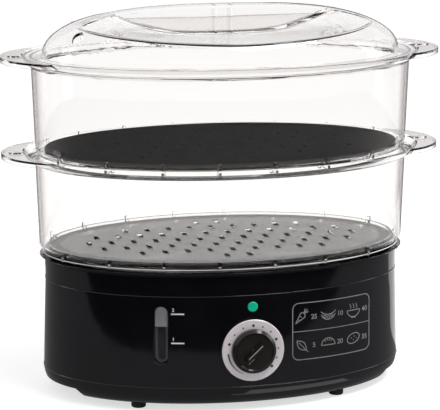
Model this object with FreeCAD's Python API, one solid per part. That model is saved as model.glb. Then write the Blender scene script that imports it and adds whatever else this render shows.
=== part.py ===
import FreeCAD, Part
import math
import os

# Two-tier electric food steamer. Millimetres, +Z up, origin on the table under the middle of the base.
# Every level in plan is an ellipse. "Grow" is how far a level stands outside (+) or inside (-)
# the reference ellipse, which is the outer face of a basket wall at its top.

# ---------------------------------------------------------------- plan and heights
half_length = 150.0          # reference ellipse, along X
half_width = 96.6            # reference ellipse, along Y
foot_height = 5.0            # rubber foot below the skirt
skirt_height = 87.6          # skirt, from its lower edge to the seam
collar_height = 15.3         # tank collar above the seam
tier_pitch = 76.2            # seat to seat of two stacked baskets
dome_height = 37.6           # lid dome above its flange

# ---------------------------------------------------------------- clearances
slip = 0.4                   # lift-off pieces, each side
snug = 0.3                   # fixed pieces in their seats
shaft_clearance = 0.05       # timer shaft in its bush, radial

# ---------------------------------------------------------------- base skirt and tank
skirt_foot_grow = -4.6       # skirt outer face just above its rounded edge
collar_grow = -6.8           # skirt top and collar outer face
base_wall = 2.5
skirt_edge_height = 15.0     # rounded lower edge, up to the crease
skirt_edge_inset = 10.0
skirt_shelf_height = 9.5     # underside of the inner shelf above the skirt's lower edge
skirt_shelf_width = 13.0
cover_thickness = 2.5
grip_raise = 7.0             # finger notch under each end
grip_start = 119.0           # half length where the notch starts
seam_groove = 0.5
corner_steps = 8             # levels of each rounded lower edge
spigot_depth = 6.0           # tank spigot inside the skirt
collar_wall = 2.0
tank_gap = 4.5               # between the skirt's inner face and the tank
tank_wall = 2.5
tank_floor_height = 31.0     # underside of the tank floor above the skirt's lower edge
shelf_drop = 12.5            # top of the tank's shoulder below the collar's top
boss_radius = 4.5
boss_x = 100.0
boss_y = 38.0
screw_radius = 2.0
screw_head_radius = 4.0
screw_head_height = 2.4
screw_length = 14.0

# ---------------------------------------------------------------- feet
foot_x = 80.0
foot_y = 60.6
foot_radius = 5.8
foot_stem_radius = 3.0
foot_stem_length = 5.0
foot_boss_radius = 4.2

# ---------------------------------------------------------------- drip tray
tray_rim_height = 3.5
tray_rim_flare = 4.2
tray_wall = 1.8
tray_depth = 12.0            # tray floor below the collar's top
tray_floor = 2.0
chimney_half_length = 34.0
chimney_half_width = 21.0
chimney_rise = 8.0

# ---------------------------------------------------------------- baskets
basket_wall = 2.2
basket_taper = 2.2           # wall leans in by this much, top to bottom
lower_spread = -0.5          # how far each basket's wall stands outside the reference ellipse
upper_spread = 1.7
basket_corner = 7.0
nub_height = 2.5
nub_count = 18
nub_width = 2.0
nub_hook = 2.5               # each nub's hook below the seat and inwards
basket_opening = -20.0       # grow of the opening under the loose floor
rim_flare_drop = 3.0         # the wall starts to flare this far below the ledge
rim_fold_reach = 6.6         # lower corner of the rim
rim_fold_rise = 0.6          # that corner above the ledge
lip_reach = 10.9             # outer edge of the lip
lip_rise = 6.4               # top of the lip above the ledge
lip_wall = 1.5
ledge_reach = 3.4            # the ledge runs out to the foot of the lip
lug_tip = 176.5              # end of the hand lug from the middle
lug_radius = 53.0
lug_plate = 1.8
lug_skirt = 4.2
lug_skirt_wall = 1.5
eyelet_x = 165.0
eyelet_radius = 5.8
eyelet_hole = 2.8
eyelet_rise = 1.2

# ---------------------------------------------------------------- loose floors
floor_thickness = 2.2
floor_bead = 2.0
floor_rib_depth = 3.0
floor_rib_width = 1.6
slot_length = 11.0
slot_width = 4.0
slot_row_pitch = 20.0
slot_pitch = 18.0
slot_margin = 9.0

# ---------------------------------------------------------------- lid
lid_flange = 2.0
lid_wall = 2.2
lid_foot_width = 1.8         # ring under the flange that stands on the basket's ledge
lid_flange_rise = 5.5        # top of the flange above the ledge
dome_foot_grow = -6.8
dome_plan_exponent = 2.9     # superellipse exponents of the dome's profile
dome_rise_exponent = 2.1
dome_points = 12
handle_width = 18.0
scoop_points = 4             # on each half of a scoop's edge curves
scoop_half_length = 88.0     # where the scoop runs out at the handle
scoop_drop = 22.5            # scoop floor at the handle's middle below the dome's top
scoop_end_drop = 5.2         # scoop floor at the handle's ends below the dome's top
scoop_bow = 3.0              # exponent of the floor's bow along the handle
scoop_far_length = 118.5     # the scoop's far edge is an arc of an ellipse in plan
scoop_far_width = 83.0
scoop_far_angle = 78.0
scoop_far_drop = 20.4
scoop_far_end_drop = 12.9
scoop_far_bow = 1.4
scoop_overrun = 1.3          # how far the cutter runs past the dome
handle_rib_spacing = 12.6
handle_rib_wall = 1.6
vent_radius = 4.2
vent_x = 119.5
vent_y = -31.0

# ---------------------------------------------------------------- controls on the front
control_x = 4.7
dial_height = 43.9           # dial centre above the skirt's lower edge
dial_radius = 24.6
dial_inner_radius = 15.6
dial_thickness = 1.2
dial_chamfer = 0.4
dial_recess = 0.7
dial_boss_proud = 0.6
knob_radius = 17.4
knob_height = 5.2
knob_bevel = 2.0
knob_dish = 0.8
knob_gap = 0.5
grip_length = 20.0
grip_width = 5.0
grip_height = 5.6
grip_top_width = 2.8
grip_taper = 1.0
pointer_length = 6.2         # small raised mark beside the grip's end
pointer_width = 1.3
pointer_along = 6.7
pointer_aside = 5.1
pointer_rise = 0.8
off_angle = -133.0           # knob pointer at 0 minutes, degrees clockwise from the top
shaft_radius = 3.0
shaft_flat = 2.2
shaft_into_timer = 9.0
shaft_into_knob = 5.0
shaft_hole_radius = 4.5
timer_width = 44.0
timer_depth = 24.0
timer_corner = 4.0
bell_radius = 17.0
bell_height = 6.0
timer_screw_offset = 11.4
timer_screw_radius = 1.5
timer_screw_head_radius = 2.7
timer_screw_head = 1.6
timer_screw_length = 9.0
alcove_half_width = 29.0
alcove_back = 51.0           # distance of the alcove's back wall from the middle
lamp_height = 78.4           # lamp centre above the skirt's lower edge
lamp_radius = 3.9
lamp_flange_radius = 5.0
lamp_flange = 1.4
lamp_proud = 1.2
neon_radius = 3.0
neon_length = 15.0

# ---------------------------------------------------------------- water gauge
gauge_x = -66.0
gauge_height = 56.2          # gauge centre above the skirt's lower edge
gauge_width = 11.0
gauge_length = 46.2
gauge_inset = 0.6
gauge_flange_margin = 2.6
gauge_flange = 1.5
chamber_depth = 6.6
chamber_back_wall = 1.5
chamber_seal = 1.0
port_radius = 2.0
float_width = 8.0
float_length = 15.0
float_thickness = 3.6
pocket_margin = 2.0

# ---------------------------------------------------------------- heater
heater_radius = 38.0
heater_hole_radius = 32.0
heater_plate = 1.2
heater_dome = 3.0
heater_seal = 1.0
element_mid_radius = 24.0
element_radius = 4.0
element_gap_angle = 40.0
element_pin_radius = 1.6
element_pin_length = 9.0
bridge_width = 16.0
bridge_sheet = 1.5
thermostat_radius = 7.5
thermostat_flange_radius = 9.0
fuse_radius = 2.0
fuse_length = 13.0
steam_ring_radius = 44.0
steam_ring_wall = 2.0
steam_ring_height = 42.0
steam_ring_lip = 6.0
steam_ring_notches = 8
steam_ring_notch = 9.0
steam_ring_notch_height = 5.0

# ---------------------------------------------------------------- electrical parts under the tank
block_length = 30.0
block_width = 16.0
block_height = 13.0
block_x = 62.0
block_y = 22.0
block_ways = 3
gland_x = 64.0
gland_height = 21.0          # gland centre above the skirt's lower edge
gland_radius = 6.5
gland_flange_radius = 8.5
gland_flange = 1.6
gland_bore_radius = 3.6

# ---------------------------------------------------------------- levels worked out from the sizes above
skirt_low = foot_height
seam = skirt_low + skirt_height
collar_top = seam + collar_height
lower_seat = collar_top + tray_rim_height
upper_seat = lower_seat + tier_pitch
lid_seat = upper_seat + tier_pitch
dome_low = lid_seat + lid_flange_rise
dome_top = dome_low + dome_height
shelf_low = skirt_low + skirt_shelf_height
cover_low = shelf_low - cover_thickness
tank_low = skirt_low + tank_floor_height
tank_floor_top = tank_low + tank_wall
shoulder_top = collar_top - shelf_drop
dial_z = skirt_low + dial_height
lamp_z = skirt_low + lamp_height
gauge_z = skirt_low + gauge_height
gland_z = skirt_low + gland_height
tank_grow = collar_grow - base_wall - tank_gap
spigot_grow = collar_grow - base_wall - snug
tray_grow = collar_grow - collar_wall - slip
tray_inner_grow = tray_grow - tray_wall
far = 400.0                  # longer than anything here, for cutting right through


# ---------------------------------------------------------------- helpers
def vec(x, y, z):
    return FreeCAD.Vector(x, y, z)


def oval(grow, z):
    """One level: the reference ellipse grown by an amount, at a height."""
    curve = Part.Ellipse(vec(0, 0, z), half_length + grow, half_width + grow)
    return Part.Wire([curve.toShape()])


def stack(levels):
    """A solid through a list of (grow, z) levels, straight between them."""
    return Part.makeLoft([oval(grow, z) for grow, z in levels], True, True)


def slab(grow, low, high):
    return stack([(grow, low), (grow, high)])


def band(outer, inner, low, high):
    """An oval ring of even height."""
    return slab(outer, low, high).cut(slab(inner, low - 1.0, high + 1.0))


def corner(grow, low, inset, height):
    """Levels of a rounded lower edge that ends at the wall's grow."""
    levels = []
    for step in range(corner_steps + 1):
        angle = 0.5 * math.pi * step / corner_steps
        levels.append((grow - inset + inset * math.sin(angle), low + height - height * math.cos(angle)))
    return levels


def brick(x0, x1, y0, y1, z0, z1):
    return Part.makeBox(x1 - x0, y1 - y0, z1 - z0, vec(x0, y0, z0))


def rod(x, y, low, high, radius):
    """An upright cylinder."""
    return Part.makeCylinder(radius, high - low, vec(x, y, low), vec(0, 0, 1))


def merge(shapes):
    result = shapes[0]
    for shape in shapes[1:]:
        result = result.fuse(shape)
    return result.removeSplitter()


def wall_point(grow, x, side):
    """A point of the oval at a given x on the front (-1) or back (+1), and its turn about Z."""
    a = half_length + grow
    b = half_width + grow
    y = side * b * math.sqrt(1.0 - (x / a) ** 2)
    normal = math.atan2(y / b ** 2, x / a ** 2)
    return y, math.degrees(normal) + 90.0


def around(grow, count):
    """Evenly spaced stations on the oval by arc length: (x, y, outward angle in degrees)."""
    a = half_length + grow
    b = half_width + grow
    fine = 1440
    angles = [2.0 * math.pi * i / fine - 0.5 * math.pi for i in range(fine + 1)]
    lengths = [0.0]
    for i in range(fine):
        dx = a * (math.cos(angles[i + 1]) - math.cos(angles[i]))
        dy = b * (math.sin(angles[i + 1]) - math.sin(angles[i]))
        lengths.append(lengths[-1] + math.hypot(dx, dy))
    stations = []
    for k in range(count):
        target = lengths[-1] * (k + 0.5) / count
        i = next(j for j in range(fine) if lengths[j + 1] >= target)
        t = angles[i]
        outward = math.degrees(math.atan2(math.sin(t) / b, math.cos(t) / a))
        stations.append((a * math.cos(t), b * math.sin(t), outward))
    return stations


def facing_front(shape, x, z, y=0.0):
    """Stand a shape, made along +Z about the origin, so that it faces the front at (x, y, z)."""
    copy = shape.copy()
    stand = FreeCAD.Placement(vec(x, y, z), FreeCAD.Rotation(vec(1, 0, 0), 90.0))
    copy.Placement = stand.multiply(shape.Placement)
    return copy


def placed(shape, x, y, z, turn):
    """Move a shape from the origin and turn it about Z."""
    copy = shape.copy()
    turned = FreeCAD.Placement(vec(x, y, z), FreeCAD.Rotation(vec(0, 0, 1), turn))
    copy.Placement = turned.multiply(shape.Placement)
    return copy


def pill(width, length, y0, y1):
    """An upright slot shape with round ends, thick along Y, about the origin."""
    r = 0.5 * width
    h = 0.5 * length - r
    middle = brick(-r, r, y0, y1, -h, h)
    top = Part.makeCylinder(r, y1 - y0, vec(0, y0, h), vec(0, 1, 0))
    bottom = Part.makeCylinder(r, y1 - y0, vec(0, y0, -h), vec(0, 1, 0))
    return merge([middle, top, bottom])


# ---------------------------------------------------------------- base skirt
def skirt_grow_at(z):
    """Outer grow of the skirt above its rounded edge."""
    start = skirt_low + skirt_edge_height
    share = (z - start) / (seam - start)
    return skirt_foot_grow + (collar_grow - skirt_foot_grow) * share


def dial_face():
    """Y of the flat front face of the dial boss."""
    y, turn = wall_point(skirt_grow_at(dial_z), control_x, -1)
    return y - dial_boss_proud


def gauge_frame():
    """Place of the water gauge on the skirt: x, y, z and turn about Z."""
    y, turn = wall_point(skirt_grow_at(gauge_z), gauge_x, -1)
    return gauge_x, y, gauge_z, turn


def gland_frame():
    y, turn = wall_point(skirt_grow_at(gland_z), gland_x, 1)
    return gland_x, y, gland_z, turn


def grip_notches():
    """Cutters for the finger notch under each end, with sloping ends."""
    low = skirt_low - 1.0
    high = skirt_low + grip_raise
    slope = high - low
    notches = []
    for side in (-1, 1):
        outline = [
            vec(side * (grip_start - 1.0), 0, low),
            vec(side * (grip_start + slope), 0, high),
            vec(side * far, 0, high),
            vec(side * far, 0, low),
        ]
        face = Part.Face(Part.makePolygon(outline + outline[:1]))
        notch = face.extrude(vec(0, 2 * half_width, 0))
        notch.translate(vec(0, -half_width, 0))
        notches.append(notch)
    return notches


def base_housing():
    edge = corner(skirt_foot_grow, skirt_low, skirt_edge_inset, skirt_edge_height)
    outer = stack(edge + [(collar_grow, seam)])
    inner_edge = corner(
        skirt_foot_grow - base_wall,
        skirt_low + base_wall,
        skirt_edge_inset - base_wall,
        skirt_edge_height - base_wall,
    )
    inner = stack(
        [(skirt_foot_grow - skirt_edge_inset, skirt_low - 1.0)]
        + inner_edge
        + [(collar_grow - base_wall, seam), (collar_grow - base_wall, seam + 1.0)]
    )
    shelf_outer = skirt_foot_grow - 0.5 * base_wall
    shelf = band(shelf_outer, shelf_outer - skirt_shelf_width, shelf_low, shelf_low + base_wall)
    shape = outer.cut(inner).fuse(shelf)
    # flat boss for the dial, thickened inside for the timer
    face = dial_face()
    boss = facing_front(Part.makeCylinder(dial_radius + 1.2, 6.5), control_x, dial_z, face + 6.5)
    back = brick(-far, far, timer_front(), 0, 0, far)
    shape = shape.fuse(boss.cut(back))
    recess = Part.makeCylinder(dial_radius + snug, dial_recess + 5)
    recess = facing_front(recess, control_x, dial_z, face + dial_recess)
    hole = facing_front(Part.makeCylinder(shaft_hole_radius, 20), control_x, dial_z, face + 10)
    cuts = [recess, hole]
    for side in (-1, 1):
        z = dial_z + side * timer_screw_offset
        cuts.append(facing_front(Part.makeCylinder(timer_screw_radius + 0.2, 20), control_x, z, face + 10))
        sink = Part.makeCylinder(timer_screw_head_radius + 0.2, 5)
        cuts.append(facing_front(sink, control_x, z, face + dial_recess + timer_screw_head))
    # lamp hole, gauge slot and cord gland hole
    lamp = Part.makeCylinder(lamp_radius + 0.2, 30)
    cuts.append(facing_front(lamp, control_x, lamp_z, face + 15))
    cuts.append(placed(pill(gauge_width + 2 * snug, gauge_length + 2 * snug, -8, 8), *gauge_frame()))
    half = 0.5 * gauge_length + 5.0
    flat = brick(-gauge_width, gauge_width, base_wall, 9.0, -half, half)
    cuts.append(placed(flat, *gauge_frame()))
    gland_hole = Part.makeCylinder(gland_radius + 0.2, 20, vec(0, -10, 0), vec(0, 1, 0))
    cuts.append(placed(gland_hole, *gland_frame()))
    cuts.extend(grip_notches())
    for cutter in cuts:
        shape = shape.cut(cutter)
    return shape.removeSplitter()


def bottom_cover():
    grow = skirt_foot_grow - skirt_edge_inset - 2 * snug
    shape = slab(grow, cover_low, shelf_low)
    for x, y in foot_places():
        shape = shape.fuse(rod(x, y, skirt_low, cover_low + 0.5, foot_boss_radius))
    for x, y in foot_places():
        socket_top = skirt_low + foot_stem_length + 0.3
        shape = shape.cut(rod(x, y, skirt_low - 1, socket_top, foot_stem_radius + 0.1))
    for x, y in boss_places():
        shape = shape.cut(rod(x, y, 0, far, screw_radius + 0.3))
    return shape.removeSplitter()


def foot_places():
    return [(-foot_x, -foot_y), (foot_x, -foot_y), (-foot_x, foot_y), (foot_x, foot_y)]


def boss_places():
    return [(-boss_x, -boss_y), (boss_x, -boss_y), (-boss_x, boss_y), (boss_x, boss_y)]


def foot(x, y):
    pad = rod(x, y, 0, foot_height, foot_radius)
    low_edge = [edge for edge in pad.Edges if abs(edge.BoundBox.ZMax) < 0.01]
    pad = pad.makeFillet(1.2, low_edge[:1])
    stem = rod(x, y, foot_height - 1.0, foot_height + foot_stem_length, foot_stem_radius)
    return merge([pad, stem])


def base_screws():
    screws = []
    for x, y in boss_places():
        head = rod(x, y, cover_low - screw_head_height, cover_low, screw_head_radius)
        head = head.makeChamfer(0.6, [e for e in head.Edges if e.BoundBox.ZMax < cover_low - 1.0][:1])
        shank = rod(x, y, cover_low - 0.5, cover_low + screw_length, screw_radius)
        screws.append(merge([head, shank]))
    return Part.makeCompound(screws)


# ---------------------------------------------------------------- tank
def alcove(extra):
    """Room for the timer and lamp in the front of the tank, grown by the wall when extra is set."""
    top = shoulder_top - tank_wall - 2.0
    return brick(
        control_x - alcove_half_width - extra,
        control_x + alcove_half_width + extra,
        -far,
        -alcove_back + extra,
        tank_low - 1.0 - extra,
        top + extra,
    )


def gauge_pocket(extra):
    """Room for the float chamber in the front of the tank."""
    width = gauge_width + 2 * gauge_flange_margin + 2 * pocket_margin
    length = gauge_length + 2 * gauge_flange_margin + pocket_margin
    depth = gauge_back() + chamber_seal
    room = brick(
        -0.5 * width - extra,
        0.5 * width + extra,
        -30.0,
        depth + extra,
        -0.5 * length - extra,
        0.5 * length + extra,
    )
    return placed(room, *gauge_frame())


def reservoir():
    floor_low = tank_low
    collar = slab(collar_grow, seam + seam_groove, collar_top)
    groove = slab(collar_grow - seam_groove, seam, seam + seam_groove)
    spigot = slab(spigot_grow, seam - spigot_depth, seam)
    tank = slab(tank_grow, floor_low, seam - spigot_depth + 0.5)
    outer = tank.fuse(spigot).fuse(groove).fuse(collar)
    # the gap between the spigot and the tank wall, open below
    gap_low = seam - spigot_depth - 1
    outer = outer.cut(band(spigot_grow - base_wall, tank_grow, gap_low, shoulder_top - tank_wall))
    outer = outer.cut(alcove(0.0))
    outer = outer.cut(gauge_pocket(0.0))
    cavity = slab(tank_grow - tank_wall, floor_low + tank_wall, shoulder_top)
    cavity = cavity.cut(alcove(tank_wall))
    cavity = cavity.cut(gauge_pocket(tank_wall))
    basin = slab(collar_grow - collar_wall, shoulder_top, collar_top + 1)
    shape = outer.cut(cavity).cut(basin)
    shape = shape.cut(rod(0, 0, 0, tank_floor_top + 1, heater_hole_radius))
    for x, y in boss_places():
        boss = rod(x, y, shelf_low, tank_low + 0.5, boss_radius)
        shape = shape.fuse(boss.cut(rod(x, y, 0, cover_low + screw_length + 1.0, screw_radius + 0.1)))
    for end in (-1, 1):
        z = end * (0.5 * gauge_length - port_radius - 2.0)
        port = Part.makeCylinder(port_radius, 12, vec(0, gauge_back() - 2.0, z), vec(0, 1, 0))
        shape = shape.cut(placed(port, *gauge_frame()))
    return shape.removeSplitter()


# ---------------------------------------------------------------- drip tray and steam ring
def drip_tray():
    rim = stack([(collar_grow, collar_top), (collar_grow + tray_rim_flare, lower_seat)])
    well = slab(tray_grow, collar_top - tray_depth, collar_top + 0.5)
    shape = rim.fuse(well)
    shape = shape.cut(slab(tray_inner_grow, collar_top - tray_depth + tray_floor, lower_seat + 1))
    low = collar_top - tray_depth
    high = low + tray_floor + chimney_rise
    a = chimney_half_length
    b = chimney_half_width
    shape = shape.fuse(oval_column(a, b, low, high))
    shape = shape.cut(oval_column(a - tray_wall, b - tray_wall, low - 1, high + 1))
    return shape.removeSplitter()


def oval_column(a, b, low, high):
    wires = [Part.Wire([Part.Ellipse(vec(0, 0, z), a, b).toShape()]) for z in (low, high)]
    return Part.makeLoft(wires, True, True)


def steam_ring():
    low = tank_floor_top
    high = low + steam_ring_height
    shape = rod(0, 0, low, high, steam_ring_radius)
    shape = shape.cut(rod(0, 0, low - 1, high - steam_ring_wall, steam_ring_radius - steam_ring_wall))
    shape = shape.cut(rod(0, 0, low, high + 1, steam_ring_radius - steam_ring_wall - steam_ring_lip))
    half = 0.5 * steam_ring_notch
    for k in range(steam_ring_notches):
        notch = brick(0, far, -half, half, low - 1, low + steam_ring_notch_height)
        notch.rotate(vec(0, 0, 0), vec(0, 0, 1), 360.0 * (k + 0.5) / steam_ring_notches)
        shape = shape.cut(notch)
    return shape.removeSplitter()


# ---------------------------------------------------------------- baskets
def lip_outer(spread):
    """Levels of the outer side of a basket's flared rim, counted from the ledge."""
    return [
        (spread, -rim_flare_drop),
        (spread + 0.4 * (rim_fold_reach - spread), -0.4 * rim_flare_drop),
        (rim_fold_reach, rim_fold_rise),
        (lip_reach, lip_rise),
    ]


def lip_inner_grow(rise):
    """Grow of the lip's inner side at a height above the ledge."""
    top = lip_reach - lip_wall
    return ledge_reach + (top - ledge_reach) * rise / lip_rise


def lug_disc(side, radius, low, high):
    """The round outline of a hand lug."""
    return rod(side * (lug_tip - lug_radius), 0, low, high, radius)


def lug(side, lip_top):
    """A hand lug: a top plate with a skirt round its edge, and a raised eyelet."""
    low = lip_top - lug_skirt
    inside = slab(0.5 * (rim_fold_reach + lip_reach) - lip_wall, 0, far)
    plate = lug_disc(side, lug_radius, low, lip_top)
    upright = [e for e in plate.Edges if e.BoundBox.ZMin > lip_top - 0.01]
    plate = plate.makeFillet(0.5 * lug_skirt_wall, upright)
    hollow = lug_disc(side, lug_radius - lug_skirt_wall, low - 1, lip_top - lug_plate)
    plate = plate.cut([hollow, inside])
    eyelet = rod(side * eyelet_x, 0, lip_top - lug_plate, lip_top + eyelet_rise, eyelet_radius)
    hole = rod(side * eyelet_x, 0, low - 1, lip_top + eyelet_rise + 1, eyelet_hole)
    return plate.fuse(eyelet).cut(hole)


def basket(seat, spread):
    """A clear basket: tapered wall, rounded lower corner, flared rim, two lugs and seat nubs."""
    ledge = seat + tier_pitch
    lip_top = ledge + lip_rise
    low = seat + nub_height
    foot_grow = spread - basket_taper
    rim = [(grow, ledge + rise) for grow, rise in lip_outer(spread)]
    shape = stack(corner(foot_grow, low, basket_corner, basket_corner) + rim)
    shape = shape.fuse([lug(side, lip_top) for side in (-1, 1)])
    inner_corner = basket_corner - basket_wall
    inner = stack(
        corner(foot_grow - basket_wall, low + basket_wall, inner_corner, inner_corner)
        + [(spread - basket_wall, ledge + 0.1)]
    )
    bowl = stack([(ledge_reach, ledge), (lip_inner_grow(lip_rise + 1.0), lip_top + 1.0)])
    shape = shape.cut([inner, bowl, slab(basket_opening, low - 1, low + basket_wall + 1)])
    return shape.fuse(basket_nubs(seat, spread)).removeSplitter()


def basket_nubs(seat, spread):
    """Short ribs under the corner; each stands on the seat and hooks inside it."""
    low = seat + nub_height
    hook = tray_inner_grow - slip - spread
    half = 0.5 * nub_width
    nubs = []
    for x, y, outward in around(spread, nub_count):
        outline = [
            vec(-slip, 0, seat),
            vec(-slip, 0, low + basket_corner),
            vec(-basket_taper - 0.5 * basket_wall, 0, low + basket_corner),
            vec(-basket_corner - basket_taper, 0, low + 0.5 * basket_wall),
            vec(hook - nub_hook, 0, low + 0.5 * basket_wall),
            vec(hook - nub_hook, 0, seat - nub_hook),
            vec(hook, 0, seat - nub_hook),
            vec(hook, 0, seat),
        ]
        nub = Part.Face(Part.makePolygon(outline + outline[:1])).extrude(vec(0, nub_width, 0))
        nub.translate(vec(0, -half, 0))
        nubs.append(placed(nub, x, y, 0, outward))
    return nubs


def basket_floor(seat, spread):
    """A loose perforated floor that lies on the basket's inner flange."""
    low = seat + nub_height + basket_wall
    top = low + floor_thickness
    edge = spread - basket_taper - basket_corner - slip
    shape = slab(edge, low, top + floor_bead).cut(slab(edge - floor_bead, top, top + floor_bead + 1))
    rib_grow = basket_opening - slip
    skirt = band(rib_grow, rib_grow - floor_rib_width, low - floor_rib_depth, low + 0.5)
    inside = slab(rib_grow - 0.5 * floor_rib_width, low - floor_rib_depth, low + 0.5)
    ribs = []
    for row in (-1.5, -0.5, 0.5, 1.5):
        y = row * slot_row_pitch
        rib = brick(-far, far, y - 0.5 * floor_rib_width, y + 0.5 * floor_rib_width, low - far, low + far)
        ribs.append(inside.common(rib))
    shape = shape.fuse([skirt] + ribs)
    a = half_length + rib_grow - slot_margin
    b = half_width + rib_grow - slot_margin
    slots = []
    count = int(a / slot_pitch) + 1
    slot_half = 0.5 * slot_width
    slot_reach = 0.5 * slot_length
    slot = brick(-slot_half, slot_half, -slot_reach, slot_reach, low - 1, top + 1)
    for row in range(-3, 4):
        y = row * slot_row_pitch
        for column in range(-count, count + 1):
            x = (column + 0.5 * (row % 2)) * slot_pitch
            reach = abs(y) + slot_reach
            if (x / a) ** 2 + (reach / b) ** 2 < 1.0:
                slots.append(placed(slot, x, y, 0, 0))
    return shape.cut(slots)


# ---------------------------------------------------------------- lid
def dome(inset):
    """The dome as a solid, or its inside when inset by the wall."""
    a = half_length + dome_foot_grow - inset
    b = half_width + dome_foot_grow - inset
    height = dome_height - inset
    points = []
    for k in range(dome_points + 1):
        t = 0.5 * math.pi * k / dome_points
        reach = a * max(math.cos(t), 0.0) ** (2.0 / dome_plan_exponent)
        points.append(vec(reach, 0, dome_low + height * math.sin(t) ** (2.0 / dome_rise_exponent)))
    points[-1] = vec(0, 0, dome_low + height)
    curve = Part.BSplineCurve()
    curve.interpolate(points)
    foot = Part.LineSegment(vec(0, 0, dome_low), points[0])
    axis = Part.LineSegment(points[-1], vec(0, 0, dome_low))
    profile = Part.Face(Part.Wire([foot.toShape(), curve.toShape(), axis.toShape()]))
    solid = profile.revolve(vec(0, 0, 0), vec(0, 0, 1), 360)
    scale = FreeCAD.Matrix()
    scale.scale(1.0, b / a, 1.0)
    return solid.transformGeometry(scale)


def scoop(side, inset):
    """The finger scoop beside the handle: everything above a floor ruled between two edge curves."""
    near = []
    distant = []
    lower = 1.15 * inset
    for k in range(-scoop_points, scoop_points + 1):
        share = k / scoop_points
        rise = (scoop_drop - scoop_end_drop) * abs(share) ** scoop_bow
        x = (scoop_half_length + inset) * share
        start = vec(x, side * (0.5 * handle_width - inset), dome_top - scoop_drop + rise - lower)
        angle = math.radians(scoop_far_angle) * share
        rise = (scoop_far_drop - scoop_far_end_drop) * abs(share) ** scoop_far_bow
        x = (scoop_far_length + inset) * math.sin(angle)
        y = side * (scoop_far_width - inset) * math.cos(angle)
        end = vec(x, y, dome_top - scoop_far_drop + rise - lower)
        near.append(start)
        distant.append(start + (end - start) * scoop_overrun)
    edges = []
    for points in (near, distant):
        curve = Part.BSplineCurve()
        curve.interpolate(points)
        edges.append(curve.toShape())
    return Part.makeRuledSurface(edges[0], edges[1]).extrude(vec(0, 0, dome_height))


def lid():
    shell = dome(0.0)
    cavity = dome(lid_wall)
    for side in (-1, 1):
        shell = shell.cut(scoop(side, 0.0))
        cavity = cavity.cut(scoop(side, lid_wall))
    for x in (-0.5 * handle_rib_spacing, 0.5 * handle_rib_spacing):
        half = 0.5 * handle_rib_wall
        reach = 0.5 * handle_width
        web = brick(x - half, x + half, -reach, reach, dome_top - scoop_drop - lid_wall, dome_top)
        cavity = cavity.cut(web)
    flange_low = dome_low - lid_flange
    edge_low = lip_inner_grow(lid_flange_rise - lid_flange) - slip
    edge_high = lip_inner_grow(lid_flange_rise) - slip
    flange = stack([(edge_low, flange_low), (edge_high, dome_low)])
    flange = flange.cut(slab(dome_foot_grow - lid_wall, flange_low - 1, dome_low + 1))
    foot_edge = ledge_reach - slip
    ring = band(foot_edge, foot_edge - lid_foot_width, lid_seat, flange_low + 0.5)
    shape = shell.cut(cavity).fuse([flange, ring])
    return shape.cut(rod(-vent_x, vent_y, dome_low, far, vent_radius)).removeSplitter()


# ---------------------------------------------------------------- timer, knob and dial
def timer_front():
    """Y of the timer's front face, against the inside of the dial boss."""
    top = dial_z + 0.5 * timer_width
    y, turn = wall_point(skirt_grow_at(top) - base_wall - snug, control_x + 0.5 * timer_width, -1)
    return y


def dial_ring():
    ring = Part.makeCylinder(dial_radius, dial_thickness)
    ring = ring.cut(Part.makeCylinder(dial_inner_radius, dial_thickness))
    rim = 2 * math.pi * dial_radius
    outer = [e for e in ring.Edges if abs(e.Length - rim) < 0.1 and e.BoundBox.ZMin > 0.1]
    ring = ring.makeChamfer(dial_chamfer, outer)
    return facing_front(ring, control_x, dial_z, dial_face() + dial_recess)


def knob_back():
    return dial_face() + dial_recess - dial_thickness - knob_gap


def timer_knob():
    """A low dished disc with a tapered grip across it and a small mark beside the grip."""
    body = Part.makeCylinder(knob_radius, knob_height)
    rim = [e for e in body.Edges if e.BoundBox.ZMin > knob_height - 0.1]
    body = body.makeChamfer(knob_bevel, rim)
    dish = knob_radius - knob_bevel - 0.6
    body = body.cut(Part.makeCone(dish - knob_dish, dish, knob_dish, vec(0, 0, knob_height - knob_dish)))
    face = knob_height - knob_dish
    wires = []
    for width, length, z in (
        (grip_width, grip_length, face - 0.5),
        (grip_top_width, grip_length - 2 * grip_taper, face + grip_height),
    ):
        half = 0.5 * width
        reach = 0.5 * length
        corners = [vec(-half, -reach, z), vec(half, -reach, z), vec(half, reach, z), vec(-half, reach, z)]
        wires.append(Part.makePolygon(corners + corners[:1]))
    grip = Part.makeLoft(wires, True, True)
    ends = [e for e in grip.Edges if e.BoundBox.ZLength > 0.5 * grip_height]
    grip = grip.makeFillet(0.4 * grip_top_width, ends)
    start = pointer_along - 0.5 * pointer_length
    mark = brick(
        pointer_aside - 0.5 * pointer_width,
        pointer_aside + 0.5 * pointer_width,
        start,
        start + pointer_length,
        face - 0.5,
        face + pointer_rise,
    )
    body = body.fuse([grip, mark])
    depth = shaft_into_knob
    body = body.cut(Part.makeCylinder(shaft_radius + shaft_clearance, depth, vec(0, 0, 0)))
    key = brick(-shaft_radius, shaft_radius, shaft_flat + shaft_clearance, shaft_radius + 0.5, 0, depth)
    body = body.fuse(key.common(Part.makeCylinder(shaft_radius + 0.3, depth)))
    body.rotate(vec(0, 0, 0), vec(0, 0, 1), -off_angle)
    return facing_front(body.removeSplitter(), control_x, dial_z, knob_back())


def timer_shaft():
    start = timer_front() + shaft_into_timer
    length = start - knob_back() + shaft_into_knob - 0.2
    shaft = Part.makeCylinder(shaft_radius, length)
    flat = brick(-far, far, shaft_flat, far, shaft_into_timer + 0.5, far)
    shaft = shaft.cut(flat)
    shaft.rotate(vec(0, 0, 0), vec(0, 0, 1), -off_angle)
    return facing_front(shaft, control_x, dial_z, start)


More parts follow.
